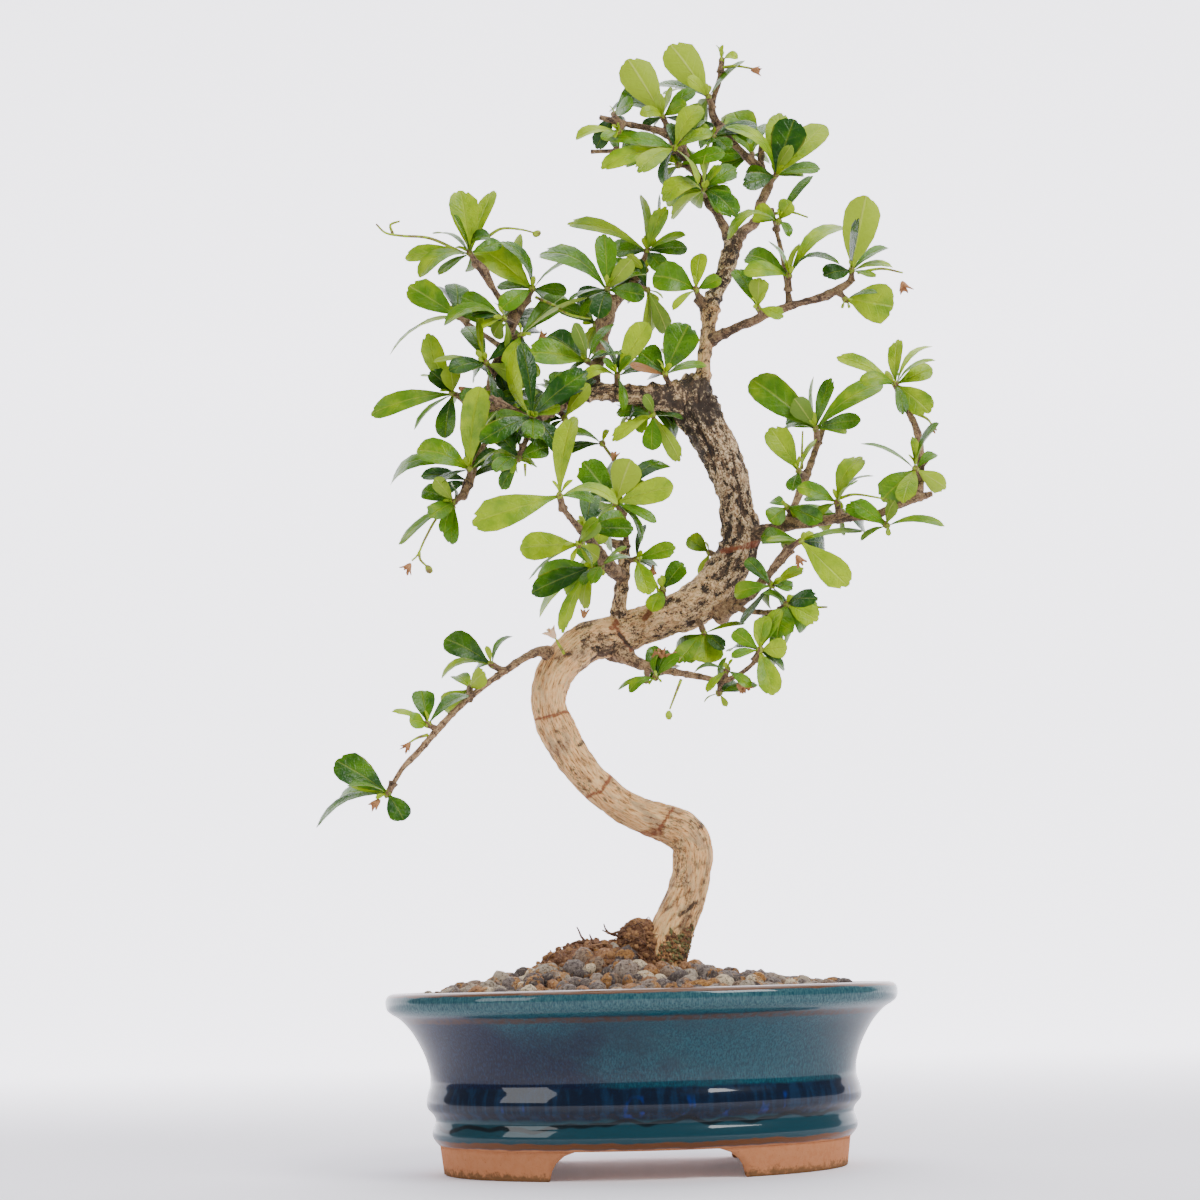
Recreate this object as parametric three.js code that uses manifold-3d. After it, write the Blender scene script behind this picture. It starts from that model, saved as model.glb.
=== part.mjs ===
// A fukien tea bonsai in a glazed oval pot, in millimetres, +Z up, seen along +Y as in its picture.
import * as THREE from 'three';
import { mergeVertices } from 'three/addons/utils/BufferGeometryUtils.js';
import Module from 'manifold-3d';

const wasm = await Module();
wasm.setup();

// Pot: half length of the oval at each height, and how much narrower it is from front to back
const POT_OUTSIDE = [
  [79.5, 0], [81, 11], [83.9, 15], [82.6, 21], [86, 27.5], [84.5, 34], [84.8, 40], [87.2, 47], [91.5, 55],
  [97, 60], [101, 63], [102, 66.5], [100.8, 69.6],
];
const POT_INSIDE = [[97, 70.5], [94, 68.5], [81, 50], [76, 26], [70, 18]];
const POT_NARROWER = 24.5;
const POT_FLOOR = 18;
const POT_UNDERSIDE = 11;
const FOOT_RING = 8;
const ARCH_HALF = 36.5;
const ARCH_CORNER = 11;
const DRAIN_RADIUS = 7;
const DRAIN_SPACING = 72;
const SCREEN_SIZE = 24;
const SCREEN_THICK = 1.2;
const SCREEN_SLOT = 2.2;
const OVAL_SIDES = 32;

// Soil: the heap of gravel, its pebbles and the root ball that shows through it
const SEAT_GAP = 0.3;
const GRAVEL_EDGE = 66.5;
const HEAP_TOP = 15;
const HEAP_AT = [-8, 2];
const HEAP_SPREAD = [55, 42];
const GRAVEL_RINGS = [1, 0.66, 0.33];
const PEBBLE_PITCH = 18.5;
const PEBBLE_RADIUS = [8, 10.2];
const PEBBLE_FLATNESS = 0.72;
const PEBBLE_SUNK = 2.5;
const PEBBLE_FIELD = [79.5, 55];
const LUMP = 0.09;
const ROOT_BALL_AT = [-16, 3, 70];
const ROOT_BALL_HALF = [29, 24, 18.5];
const ROOT_CLUMP_AT = [0, 2, 84];
const ROOT_CLUMP_HALF = [9, 9, 12.5];

// Steps smaller than the first are left out of a surface, or than the second where the first would pinch it
const FINEST_STEPS = [0.15, 0.03];

// Viewer: the tree's points are named where this eye sees them on the plane y = 0, with a depth behind it
// in parts that are this many millimetres long
const EYE = new THREE.Vector3(-12.3, -900, 76);
const DEPTH_PART = 1.6;

// Leaf: share of the length, share of the half width, one side notched below the tip
const LEAF_THICK = 0.8;
const LEAF_CLEAR = 0.4;
const LEAF_OUTLINE = [[0, 0], [0.4, -0.68], [0.74, -1], [1, -0.22], [0.92, 0.2], [0.94, 0.68], [0.58, 1]];
const LEAF_FACES = [[0, 1, 6], [1, 2, 6], [2, 5, 6], [2, 4, 5], [2, 3, 4]];
const LEAF_START = 0.8;
const BUD_RADIUS = 2.1;
const BUD_CROWDING = 6;
const SPUR_RADIUS = 1.2;
// A leaf that would touch another twig's leaf is moved this far nearer or farther at its tip
const LEAF_SHIFTS = [0, 4, -4, 8, -8, 12, -12, 16, -16, 20];
const FILL_LENGTH = [15, 23];
const FILL_WIDTH = 0.4;
const OLD_GREEN = 0x2f6a1c;
const YOUNG_GREEN = 0xa3bb3c;

// Wood: each limb's points as seen, x, z, depth and radius
const TRUNK_SIDES = 10;
const TRUNK_ROUGH = 0.04;
const LIMB_BLUNT = 0.3;
const TRUNK = [
  [7, 62, 2, 9.5], [8.5, 72, 2, 9.6], [10, 82, 2, 9], [12.4, 91, 2, 8.4], [16.5, 99.5, 3, 8.3],
  [20, 108, 4, 8], [22, 117, 4, 7.8], [22, 125, 4, 8], [19.2, 131.3, 3, 8.2], [13, 135, 2, 7.9],
  [3, 138.5, 1, 7.2], [-6.5, 143.7, 0, 6.9], [-15, 150.7, -2, 6.9], [-21, 158, -3, 6.9],
  [-26.6, 166.5, -4, 7], [-31, 174.5, -5, 7.4], [-34, 182.5, -6, 7.1], [-34.4, 190, -6, 7.2],
  [-31.3, 198.3, -5, 7.7], [-25.8, 205, -4, 8.1], [-17.5, 211, -2, 8.3], [-7, 212.6, 0, 8.6],
  [3, 216, 1, 7.7], [14.5, 220, 2, 8.1], [25, 224, 3, 8.7], [34.3, 230.5, 4, 9], [41, 240, 4, 8.3],
  [46, 248, 3, 8.2], [46.6, 256, 2, 7.7], [45.2, 264, 1, 7], [44.3, 272, 0, 6.8], [42.3, 280, -1, 7.6],
  [39.3, 288, -1, 8.2], [35.6, 296, -1, 8.2], [31.5, 304.5, 0, 8.8], [29.5, 312, 0, 9.3],
  [31.5, 319, 0, 5.6],
];
const LIMBS = {
  leader: [
    [32, 314, 0, 4], [33.4, 324, 0, 3.2], [34.2, 331, 1, 2.8], [35.5, 338, 2, 3], [36.6, 345, 3, 3],
    [37.2, 351, 4, 4], [41, 360, 5, 3.1], [44.3, 368, 5, 3.6], [46.8, 376, 5, 3.5], [47.3, 383, 5, 3],
  ],
  leader_stub: [[37, 350, 4, 3], [32, 356, 2, 1.9]],
  leader_left: [
    [47, 380, 5, 2.4], [43, 390, 4, 1.8], [38, 399, 2, 2], [33.5, 410.5, 0, 1.8], [27.5, 420.5, -2, 2.2],
    [24, 428, -3, 2.7], [21.3, 432.5, -3, 1.7],
  ],
  cut_stub_upper: [[24, 428, -3, 1.8], [15, 431.2, -5, 1.4], [5, 433.6, -7, 1.2], [-7, 437, -9, 1.1]],
  cut_stub_lower: [[26, 422, -2, 1.8], [15, 420.8, 1, 1.3], [3, 421.8, 4, 1], [-11, 421.7, 7, 0.9]],
  leader_right: [
    [47.5, 378, 5, 2.8], [52, 384, 7, 2.3], [58, 389, 10, 2.1], [60.3, 397, 11, 2.1], [64, 405, 12, 2],
    [61, 411, 12, 2], [52, 421, 10, 1.5], [46, 428.5, 8, 1.5], [42, 435, 6, 1.7], [41, 441.5, 5, 1.5],
    [44, 450, 4, 1.1], [45.6, 458, 3, 1],
  ],
  dark_stub: [[60.5, 411, 12, 1.6], [61.8, 424, 15, 1.3]],
  upper_right: [
    [36, 337, 2, 2.6], [41, 339.2, 0, 2.3], [50, 343.3, -3, 1.8], [56, 345.5, -5, 2],
    [62, 348.5, -7, 1.7], [68, 350.3, -8, 1.8], [75, 352.5, -9, 1.5], [84, 354.6, -9, 1.9],
    [91, 357.5, -8, 1.9], [98, 362.3, -8, 1.2],
  ],
  tan_twig: [
    [70.8, 350.5, -8.5, 1.5], [70, 360, -6, 1.1], [68.3, 375, -2, 1], [66.4, 385, 1, 0.9],
    [65, 394, 4, 0.9],
  ],
  upper_left: [
    [29, 313, 0, 7.5], [20, 313, -2, 6.6], [10, 313.8, -4, 4.7], [0, 315, -6, 3.7], [-10, 316, -7, 3.6],
    [-20, 314.6, -6, 3], [-27, 311.6, -4, 2.3], [-40, 309.6, 0, 2], [-50, 309.5, 4, 1.8],
    [-60, 311, 8, 1.5], [-68, 314.5, 11, 1.2],
  ],
  tan_fork: [
    [-25, 311.5, -5, 1.9], [-31, 308, -9, 1.6], [-38, 304.6, -13, 1.6], [-46, 309, -15, 1.5],
    [-56, 315, -16, 1.3],
  ],
  low_fork: [[-38, 304.8, -13, 1.5], [-41, 297, -15, 1.3], [-43.5, 292, -17, 1.1]],
  dropping_fork: [
    [-47, 309.5, 3, 1.4], [-55, 300, 2, 1.2], [-61, 291, 0, 1.2], [-66, 278, -3, 2.2],
    [-68.5, 272, -4, 1.6],
  ],
  thick_upright: [
    [-14, 315.5, -6, 3], [-12, 324, -2, 2.5], [-9, 333, 1, 2.4], [-8, 342, 3, 2.9], [-6.4, 350, 4, 3.6],
    [-4.6, 357, 5, 3.4],
  ],
  upright_twig: [[-4, 354, 5, 2.4], [3, 360.5, 7, 2], [6.4, 366, 8, 1.3], [10, 372.5, 9, 1.2]],
  left_upright: [
    [-53, 310, 5, 1.7], [-56, 319, 6, 1.5], [-54, 328, 6, 1.8], [-49.5, 336, 6, 1.8], [-46, 346, 6, 1.9],
    [-43, 353, 6, 2.1], [-39, 357.6, 6, 1.7],
  ],
  left_tip: [
    [-45, 350, 6, 1.3], [-50, 356, 3, 1.4], [-54, 362.5, 0, 1.3], [-58, 370.5, -3, 2.2],
    [-62, 374, -5, 1.5],
  ],
  left_side: [[-50, 336, 6, 1.3], [-58, 342, 11, 1], [-66, 348, 16, 0.9]],
  right_mid: [
    [49, 252, 1, 4.2], [58, 255.6, -2, 2.4], [66, 257.3, -4, 2.6], [80, 258.6, -8, 2],
    [88, 259.6, -10, 2], [96, 260, -12, 1.6], [102, 260.3, -13, 1.9], [109, 263.2, -14, 1.5],
    [118, 266.6, -15, 1.7], [126.5, 269, -16, 1.2],
  ],
  right_end: [
    [120, 267, -15, 2], [121.7, 274, -14, 1.8], [122.6, 284, -13, 1.6], [121.6, 296, -12, 1.5],
    [118, 305, -11, 1.3], [114.6, 312.5, -10, 1.4],
  ],
  right_end_stub: [[122.6, 281, -13, 1.2], [125.8, 284.5, -14, 1]],
  right_inner: [
    [66, 257.5, -4, 2.2], [69.6, 266, -1, 1.5], [74, 276, 3, 1.7], [79, 289, 7, 1.3], [81, 294, 8, 1.4],
    [84, 301, 9, 1],
  ],
  right_lower: [
    [36, 221, 2, 4.2], [44.5, 225.6, -3, 2.8], [52, 231, -8, 2.2], [58, 237.2, -12, 1.7],
    [62, 242, -14, 1.9], [66.6, 247.4, -16, 2.3],
  ],
  right_thin: [[42, 224, -3, 1.6], [49, 221.6, -9, 1.1], [57, 221, -14, 1], [62, 221.7, -17, 0.9]],
  under_branch: [
    [-6, 208, 0, 5], [0, 202.6, -6, 2.8], [8, 199.3, -10, 1.9], [16, 197.5, -13, 1.6],
    [27, 195.2, -16, 1.3], [36, 193.2, -18, 1.2], [42, 194.5, -19, 1.1], [47.5, 198, -20, 0.9],
    [51.2, 201.4, -21, 1],
  ],
  short_upright: [
    [-5, 215, 0, 4.5], [-4.4, 225, -3, 3.2], [-3.4, 233, -5, 2.6], [-2, 242, -7, 2.5],
    [-1.6, 251, -8, 2.4],
  ],
  short_side: [[-1.6, 249.5, -8, 2], [-9.5, 253, -10, 1.5]],
  short_thin: [[-1.4, 249, -8, 1.3], [-0.6, 258, -10, 1], [-2, 264, -12, 1]],
  front_twig: [
    [-3, 238, -6, 2.6], [-8, 241.5, -16, 3], [-12.5, 248.5, -26, 2.1], [-18, 255.5, -36, 1.6],
    [-23.5, 262.5, -44, 1.3], [-27.4, 267.6, -50, 1.3],
  ],
  left_low: [
    [-30, 203, -4, 4], [-36, 207, -9, 2.4], [-42, 205.6, -14, 1.6], [-50, 200.8, -19, 1.6],
    [-60, 194, -24, 1.3], [-70, 186, -28, 1.3], [-79, 177, -31, 1.4], [-88, 167, -33, 1.3],
    [-94, 161, -34, 1.1], [-98.6, 154, -35, 1],
  ],
};

// Leafy tufts: where the spur leaves the wood and where its bud sits, x, z and depth as seen. Each leaf is
// its tip's x and z, the tip's depth from the bud, width, turn of the face from the viewer upwards in
// degrees, arch as a share of its length, and youth from 0 dark to 1 yellow-green. fill adds leaves by rule.
const TUFTS = {
  top_right: {
    on: [41, 440, 5], at: [39.6, 445, 2], fill: 1,
    leaves: [
      [24, 469, -4, 15.5, 12, 0.08, 0.9], [31, 454, -8, 6, 30, 0.1, 0.95],
      [56, 461, 6, 9, 76, 0.05, 0.35], [17.5, 451, 9, 8, 62, 0.08, 0.25],
    ],
  },
  top_left: {
    on: [22, 431, -3], at: [20, 436.6, -3], fill: 2,
    leaves: [
      [5.5, 463, -5, 15.5, 10, 0.06, 0.9], [24.5, 449, 6, 7, 112, 0.05, 0.5],
      [30.5, 442, -6, 6.5, 30, 0.1, 0.6], [-3, 439.5, 7, 9, 58, 0.22, 0.25],
      [10, 438, -9, 6, 40, 0.2, 0.95],
    ],
  },
  upper_elbow: {
    on: [26.6, 421.6, -2], at: [24.4, 422.4, -8], fill: 1,
    leaves: [
      [-6.5, 428.5, 5, 9, 48, 0.06, 0.55], [-7, 414, -4, 9.5, 38, 0.12, 0.75],
      [3, 415.5, 8, 8, 40, 0.1, 0.6], [36, 441, -4, 11, 32, 0.12, 0.85], [41, 428, -2, 8, 50, 0.1, 0.7],
      [34, 406, -6, 7, 76, 0.1, 0.8], [8.5, 412, -8, 10, 38, 0.1, 0.85],
    ],
  },
  mid_leader: {
    on: [37, 401.4, 1.5], at: [36.4, 403.4, -5], fill: 1,
    leaves: [
      [18.5, 399, -6, 12, 50, 0.32, 0.85], [22, 391, 2, 10, 118, 0.08, 0.55],
      [26, 407, 6, 8, 30, 0.1, 0.15], [20, 399.5, -1, 9, 24, 0.08, 0.75],
      [50, 391, -5, 10, 22, 0.22, 0.25], [44.5, 394, -10, 8, 30, 0.1, 0.45],
      [40, 420, 6, 7, 112, 0.05, 0.5], [46, 406, 8, 5, 60, 0.1, 0.4],
    ],
  },
  crown_right: {
    on: [64, 405, 12], at: [67, 408.8, 8], fill: 2,
    leaves: [
      [76, 434, -4, 15, 8, 0.05, 0.05], [89, 431, 6, 12, 22, 0.05, 0.95],
      [70, 437, 8, 11, 14, 0.05, 0.85], [46.5, 431, -9, 8, 55, 0.26, 0.75],
      [53, 405, -7, 8.5, 20, 0.04, 0.12], [79, 409, 4, 6, 55, 0.05, 0.4],
    ],
  },
  crown_inner: {
    on: [58, 414.5, 11], at: [57.4, 418.6, 15], fill: 1,
    leaves: [
      [50, 438, 4, 15, 14, 0.08, 0.65], [42, 419, 3, 9, 28, 0.08, 0.2], [43, 410.5, 0, 8, 36, 0.06, 0.35],
    ],
  },
  crown_elbow: {
    on: [44.5, 431, 7], at: [41, 427, 3], fill: 0,
    leaves: [
      [37.5, 423.5, -7, 8, 50, 0.02, 0.35], [36, 410.5, 0, 8.5, 106, 0.08, 0.5],
      [48, 421, -9, 7, 30, 0.1, 0.3],
    ],
  },
  tan_twig_side: {
    on: [66.4, 385, 1], at: [67.6, 388.6, -2], fill: 0,
    leaves: [
      [73.5, 397, -4, 9, 30, 0.08, 0.85], [57, 393, 2, 10, 26, 0.1, 0.8],
      [45.5, 381, -8, 8.5, 66, 0.34, 0.75], [72, 381.5, -6, 4.5, 36, 0.2, 0.4],
      [83, 408.5, 3, 6, 50, 0.06, 0.3],
    ],
  },
  upper_right_spur: {
    on: [70.3, 358, -8], at: [71, 364.4, -10], fill: 1,
    leaves: [
      [96, 385, 5, 9.5, 48, 0.2, 0.8], [76, 378.5, -5, 8, 108, 0.04, 0.55],
      [52, 367, -3, 9, 38, 0.14, 0.75], [53, 373.5, 6, 9.5, 26, 0.2, 0.5],
      [92.5, 369, -4, 7, 72, 0.3, 0.12],
    ],
  },
  upper_right_tip: {
    on: [97, 361.5, -8], at: [97.5, 366, -9], fill: 1,
    leaves: [
      [105, 399, -2, 15.5, 6, 0.04, 0.88], [101.5, 389, -9, 8, 66, 0.05, 0.08],
      [115, 367, 3, 6, 60, 0.14, 0.85], [85.5, 364, -7, 9, 36, 0.08, 0.15],
      [107.5, 363, -6, 5, 60, 0.05, 0.6],
    ],
  },
  upper_right_under: {
    on: [91, 357.5, -8], at: [94.5, 353.4, -11], fill: 0,
    leaves: [[114.5, 350, -3, 17, 8, 0.08, 0.88], [108, 356, -10, 5, 70, 0.1, 0.35]],
  },
  upper_right_inner: {
    on: [59, 347, -6], at: [57.4, 350.8, -10], fill: 1,
    leaves: [[58.5, 364, -3, 9, 16, 0.05, 0.6], [68, 346.5, 5, 7, 36, 0.05, 0.75]],
  },
  left_crown: {
    on: [-60.5, 373, -4], at: [-63.4, 378, -5], fill: 1,
    leaves: [
      [-67, 406, -3, 12.5, 8, 0.06, 0.85], [-53, 405.5, 5, 8, 36, 0.04, 0.88],
      [-70, 395, -8, 8, 78, 0.05, 0.2], [-85, 368, -4, 11, 56, 0.22, 0.7],
      [-91, 377, 5, 8.5, 36, 0.08, 0.8], [-54.5, 385, -8, 8.5, 66, 0.3, 0.1],
      [-79, 387, 9, 6, 74, 0.15, 0.35],
    ],
  },
  left_crown_right: {
    on: [-40, 356.5, 6], at: [-37.4, 361.6, 3], fill: 1,
    leaves: [
      [-60.5, 381, -8, 13.5, 18, 0.1, 0.8], [-42, 386, -2, 7.5, 56, -0.2, 0.8],
      [-50, 383, 7, 8, 54, 0.2, 0.25], [-52.5, 363, 4, 6, 46, 0.08, 0.35],
      [-16, 374.5, -5, 6, 74, 0.12, 0.6], [-51, 353, -7, 9, 24, 0.1, 0.5],
    ],
  },
  left_side_twig: {
    on: [-65, 347.4, 15], at: [-69, 350.4, 16], fill: 1,
    leaves: [
      [-89.5, 364.5, -2, 12.5, 14, 0.06, 0.62], [-86, 347, -8, 7, 108, 0.05, 0.5],
      [-98, 334, 2, 6, 82, 0.14, 0.45], [-70, 365, 6, 11, 20, 0.1, 0.15],
    ],
  },
  left_upright_side: {
    on: [-45.6, 347, 6], at: [-49.5, 349.4, 0], fill: 1,
    leaves: [
      [-75, 347, -5, 9, 58, 0.26, 0.6], [-58.5, 345, -6, 5, 56, 0.1, 1], [-54, 341, 6, 8, 30, 0.1, 0.3],
    ],
  },
  left_upright_low: {
    on: [-54.6, 326, 6], at: [-57.6, 330, 2], fill: 1,
    leaves: [
      [-59, 355.5, -4, 6, 54, -0.1, 0.85], [-79.5, 331, -2, 6, 66, 0.08, 0.75],
      [-73, 327, -8, 9, 38, 0.1, 0.08], [-66, 346, 5, 9, 30, 0.1, 0.3],
    ],
  },
  far_left: {
    on: [-66.5, 314, 10], at: [-71.6, 317, 8], fill: 1,
    leaves: [
      [-106, 309, -2, 10, 30, 0.12, 0.65], [-82, 343.5, 5, 10, 22, -0.14, 0.8],
      [-81, 327, -4, 8, 20, 0.1, 0.08], [-73, 329.5, -9, 9.5, 26, 0.1, 0.6],
      [-88, 302, 2, 5, 66, 0.1, 0.5], [-75, 298, -3, 9, 20, 0.1, 0.25],
    ],
  },
  left_low_crown: {
    on: [-65.5, 279, -2], at: [-65, 284.6, -6], fill: 1,
    leaves: [
      [-60, 320, -6, 13, 26, 0.08, 0.78], [-87, 293, -2, 12, 28, 0.2, 0.62],
      [-98, 279, 3, 9, 48, 0.28, 0.5], [-53, 309.5, 4, 5, 76, 0.08, 0.6],
      [-37, 284.5, -4, 7, 60, 0.26, 0.72], [-52, 291, 6, 8, 28, 0.08, 0.25],
    ],
  },
  left_low_under: {
    on: [-68, 273.4, -4], at: [-71.6, 270.6, -6], fill: 1,
    leaves: [
      [-95, 253.5, 3, 7.5, 62, 0.06, 0.6], [-76, 257.5, -5, 6.5, 34, 0.08, 0.45],
      [-82, 264.5, -9, 9, 30, 0.06, 0.55], [-85, 276, 6, 8, 20, 0.1, 0.25],
    ],
  },
  tan_fork_leaves: {
    on: [-38, 304.8, -13], at: [-38.6, 306.4, -18], fill: 1,
    leaves: [
      [-42.5, 338, -1, 9, 34, 0.05, 0.12], [-45, 336, 7, 9, 46, -0.2, 1],
      [-15, 325, -2, 11.5, 28, 0.08, 0.12], [-60.5, 296, -6, 9.5, 20, 0.1, 0.12],
      [-38.5, 297, -9, 10, 10, 0.1, 0.3], [-27, 290.5, 4, 9, 30, 0.1, 0.2],
    ],
  },
  low_fork_leaves: {
    on: [-42.6, 294, -16], at: [-44.6, 288.6, -17], fill: 1,
    leaves: [
      [-54.5, 300, -4, 9, 30, 0.1, 0.12], [-56, 286, 4, 8, 28, 0.1, 0.3], [-32, 293, -3, 9, 22, 0.1, 0.3],
      [-52, 275.5, 2, 7.5, 36, 0.05, 0.2],
    ],
  },
  upright_top: {
    on: [-4.8, 355, 5], at: [-5.8, 360.6, 0], fill: 2,
    leaves: [
      [-6.5, 385, -2, 9.5, 10, 0.05, 0.5], [5, 373.5, -6, 8, 20, 0.06, 0.5],
      [-34, 377, 5, 13, 46, 0.22, 0.4], [-22, 356, -7, 4.5, 74, 0.1, 0.2],
      [-10, 348, -9, 9.5, 16, 0.1, 0.1], [10, 357.5, -5, 8.5, 12, 0.1, 0.25],
    ],
  },
  upright_twig_tip: {
    on: [9.6, 372, 9], at: [11.4, 377, 8], fill: 1,
    leaves: [
      [-22, 390, -4, 9, 48, 0.12, 0.8], [9.5, 402, 4, 6.5, 54, 0.06, 0.78],
      [17.4, 402, 9, 4.5, 78, -0.06, 0.15], [20, 396.5, -3, 8.5, 36, 0.06, 0.75],
      [28, 383.5, -8, 6, 54, 0.1, 0.75], [28.5, 378, 3, 7.5, 30, 0.06, 0.25],
      [-2, 377, -2, 8.5, 40, 0.06, 0.3], [18, 368.5, -5, 8, 14, 0.06, 0.35],
    ],
  },
  leader_stub_leaves: {
    on: [33, 355, 2], at: [31.6, 359.4, -1], fill: 1,
    leaves: [
      [13.5, 366, -4, 14, 22, 0.2, 0.5], [34, 375.5, 3, 7.5, 18, 0.04, 0.85],
      [21.5, 350.8, -6, 4.5, 44, 0.1, 0.92], [42.5, 364, -4, 7, 30, 0.05, 0.5],
    ],
  },
  knob_leaves: {
    on: [20, 316, -3], at: [17.4, 323, -8], fill: 1,
    leaves: [
      [28, 344.5, -3, 15, 8, 0.06, 0.35], [7, 333, 3, 13, 18, 0.08, 0.28],
      [35, 326.5, 7, 7, 56, 0.1, 0.6], [3, 327, -5, 7, 60, 0.02, 2],
    ],
  },
  branch_top_leaves: {
    on: [-3, 316, -6], at: [-2.6, 322.8, -8], fill: 0,
    leaves: [
      [11, 345.5, -3, 11.5, 26, 0.04, 0.92], [-8.5, 330, -7, 5, 50, 0.1, 0.3],
      [3.5, 331, -8, 4.5, 50, 0.1, 0.4], [-18, 321.5, -2, 7, 48, 0.3, 0.85],
      [-1, 308, -7, 5, 40, 0.1, 0.35],
    ],
  },
  upright_low: {
    on: [-11, 327, -1], at: [-15, 329.6, -5], fill: 1,
    leaves: [
      [-40, 334, -8, 13, 32, 0.08, 0.6], [0, 332.5, -9, 4.5, 72, 0.06, 0.2],
      [-31, 341.5, 5, 11, 28, 0.08, 0.1], [-4, 345.5, 7, 7, 56, 0.08, 0.4],
    ],
  },
  left_inner: {
    on: [-48, 339.4, 6], at: [-42.8, 341.6, 2], fill: 0,
    leaves: [
      [-13.5, 357.5, -3, 9.5, 100, 0.06, 0.6], [-24, 358.5, 6, 10, 18, 0.06, 0.45],
      [-47, 327, -8, 9, 30, 0.1, 0.7],
    ],
  },
  front_tip: {
    on: [-26.6, 266.6, -49], at: [-28, 272.2, -52], fill: 1,
    leaves: [
      [-64.5, 261.5, -4, 14, 12, 0.06, 0.82], [-21.5, 306, 4, 11.5, 36, 0.06, 0.88],
      [-4, 268, -3, 8, 56, 0.24, 0.85], [-24, 288, 8, 5, 74, 0.05, 0.35],
    ],
  },
  front_side: {
    on: [-18, 255.5, -36], at: [-20.6, 251.4, -38], fill: 0,
    leaves: [
      [-45, 250.5, -3, 12.5, 18, 0.08, 0.85], [-41.5, 237, 4, 5, 78, 0.08, 0.4],
      [-12, 262, -8, 6, 40, 0.1, 0.7],
    ],
  },
  front_root: {
    on: [-10, 244, -20], at: [-14.6, 242, -23], fill: 0,
    leaves: [
      [-40.5, 231.5, -3, 10, 20, 0.06, 0.15], [-38, 238, 7, 11, 30, 0.1, 0.5],
      [-37.5, 221.5, 3, 6.5, 54, 0.12, 0.82], [-28, 214.5, -6, 8.5, 48, 0.1, 0.75],
      [-19, 224.5, 8, 7.5, 40, 0.1, 0.7],
    ],
  },
  centre_front: {
    on: [-2, 264, -12], at: [-4.8, 268.4, -16], fill: 1,
    leaves: [
      [2, 287, -8, 13.5, 12, 0.06, 0.9], [18, 284, -2, 8, 36, 0.26, 0.15],
      [19.5, 275, -6, 11, 14, 0.06, 0.9], [-18, 286.5, 4, 12.5, 10, 0.06, 0.32],
      [-13, 251, -6, 9, 26, 0.08, 0.8], [12, 260, -4, 5, 30, 0.1, 0.4], [5, 251, 3, 6, 60, 0.2, 0.3],
    ],
    shoot: [[-4.8, 268.4, -16, 0.8], [-1.6, 280, -9, 0.7], [-9.6, 294, -3, 0.7]],
    shoot_leaves: [[-27, 297.5, -3, 7, 56, 0.2, 0.35], [-28, 290, 4, 7, 46, 0.1, 0.12]],
  },
  short_right: {
    on: [-2, 244, -7], at: [3.2, 244.6, -9], fill: 0,
    leaves: [
      [19.6, 249, -3, 7.5, 18, 0.04, 0.6], [12, 241.5, 4, 4.5, 66, 0.06, 0.6],
      [8, 229.5, -4, 8.5, 10, 0.06, 0.75],
    ],
  },
  under_knob: {
    on: [10, 312, -4], at: [11.8, 305.6, -8], fill: 0,
    leaves: [
      [11, 290.5, -2, 8.5, 10, 0.04, 0.45], [22.5, 285.5, 3, 7, 18, 0.06, 0.6],
      [-5.5, 295, -4, 7, 36, 0.1, 0.92], [-3.5, 307, 5, 7, 40, 0.1, 0.2],
    ],
  },
  trunk_top_side: {
    on: [14.5, 221, 2], at: [13.6, 231.4, -2], fill: 0,
    leaves: [
      [22.5, 242.5, -1, 8.5, 14, 0.04, 0.3], [4, 231, -4, 4.5, 66, 0.14, 0.3],
      [9, 222.5, -9, 8, 20, 0.1, 0.75],
    ],
  },
  trunk_bend_side: {
    on: [42, 242, 4], at: [33.4, 246.6, 8], fill: 0,
    leaves: [[24.5, 253, -2, 8, 18, 0.06, 0.65], [30, 236, 0, 6, 24, 0.06, 0.75]],
  },
  trunk_under: {
    on: [27, 222, 2], at: [30, 213, -2], fill: 0,
    leaves: [
      [31, 200.5, -6, 14, 8, 0.04, 0.82], [47, 216.5, -2, 5, 66, 0.06, 0.6],
      [21.5, 202, 5, 9, 16, 0.08, 0.65],
    ],
  },
  right_thin_tip: {
    on: [61.6, 221.7, -17], at: [64.4, 224, -18], fill: 0,
    leaves: [
      [77, 217, -2, 9.5, 16, 0.08, 0.86], [60, 210, -5, 13, 18, 0.12, 0.55],
      [55, 229.5, 3, 6, 60, 0.1, 0.4], [71, 213, 5, 8, 30, 0.14, 0.4],
    ],
  },
  right_lower_side: {
    on: [56.5, 235.6, -11], at: [58.6, 232, -15], fill: 0,
    leaves: [
      [72, 239, 3, 6.5, 40, 0.05, 0.88], [48.5, 243.5, 6, 6.5, 22, 0.05, 0.22],
      [43, 229, 4, 8, 26, 0.1, 0.62], [67, 230, -6, 7, 50, 0.14, 0.35],
    ],
  },
  right_lower_tip: {
    on: [66, 246.8, -16], at: [71, 250.4, -17], fill: 1,
    leaves: [
      [90, 231, -3, 12.5, 8, 0.06, 0.92], [57, 251, 4, 5, 60, 0.05, 0.6],
      [98, 254, 6, 6.5, 66, 0.06, 0.65],
    ],
  },
  under_tip: {
    on: [50.4, 200.8, -21], at: [52.6, 205.4, -22], fill: 0,
    leaves: [
      [64, 206, -2, 8.5, 8, 0.05, 0.88], [55.5, 219.5, 4, 8.5, 28, 0.06, 0.78],
      [42, 213.5, 3, 7, 10, 0.06, 0.6], [62.5, 197, 5, 6, 54, 0.06, 0.12],
      [57, 186.5, -5, 10, 12, 0.1, 0.82], [41, 202.5, -4, 5, 40, 0.1, 0.6],
    ],
  },
  under_root: {
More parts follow.
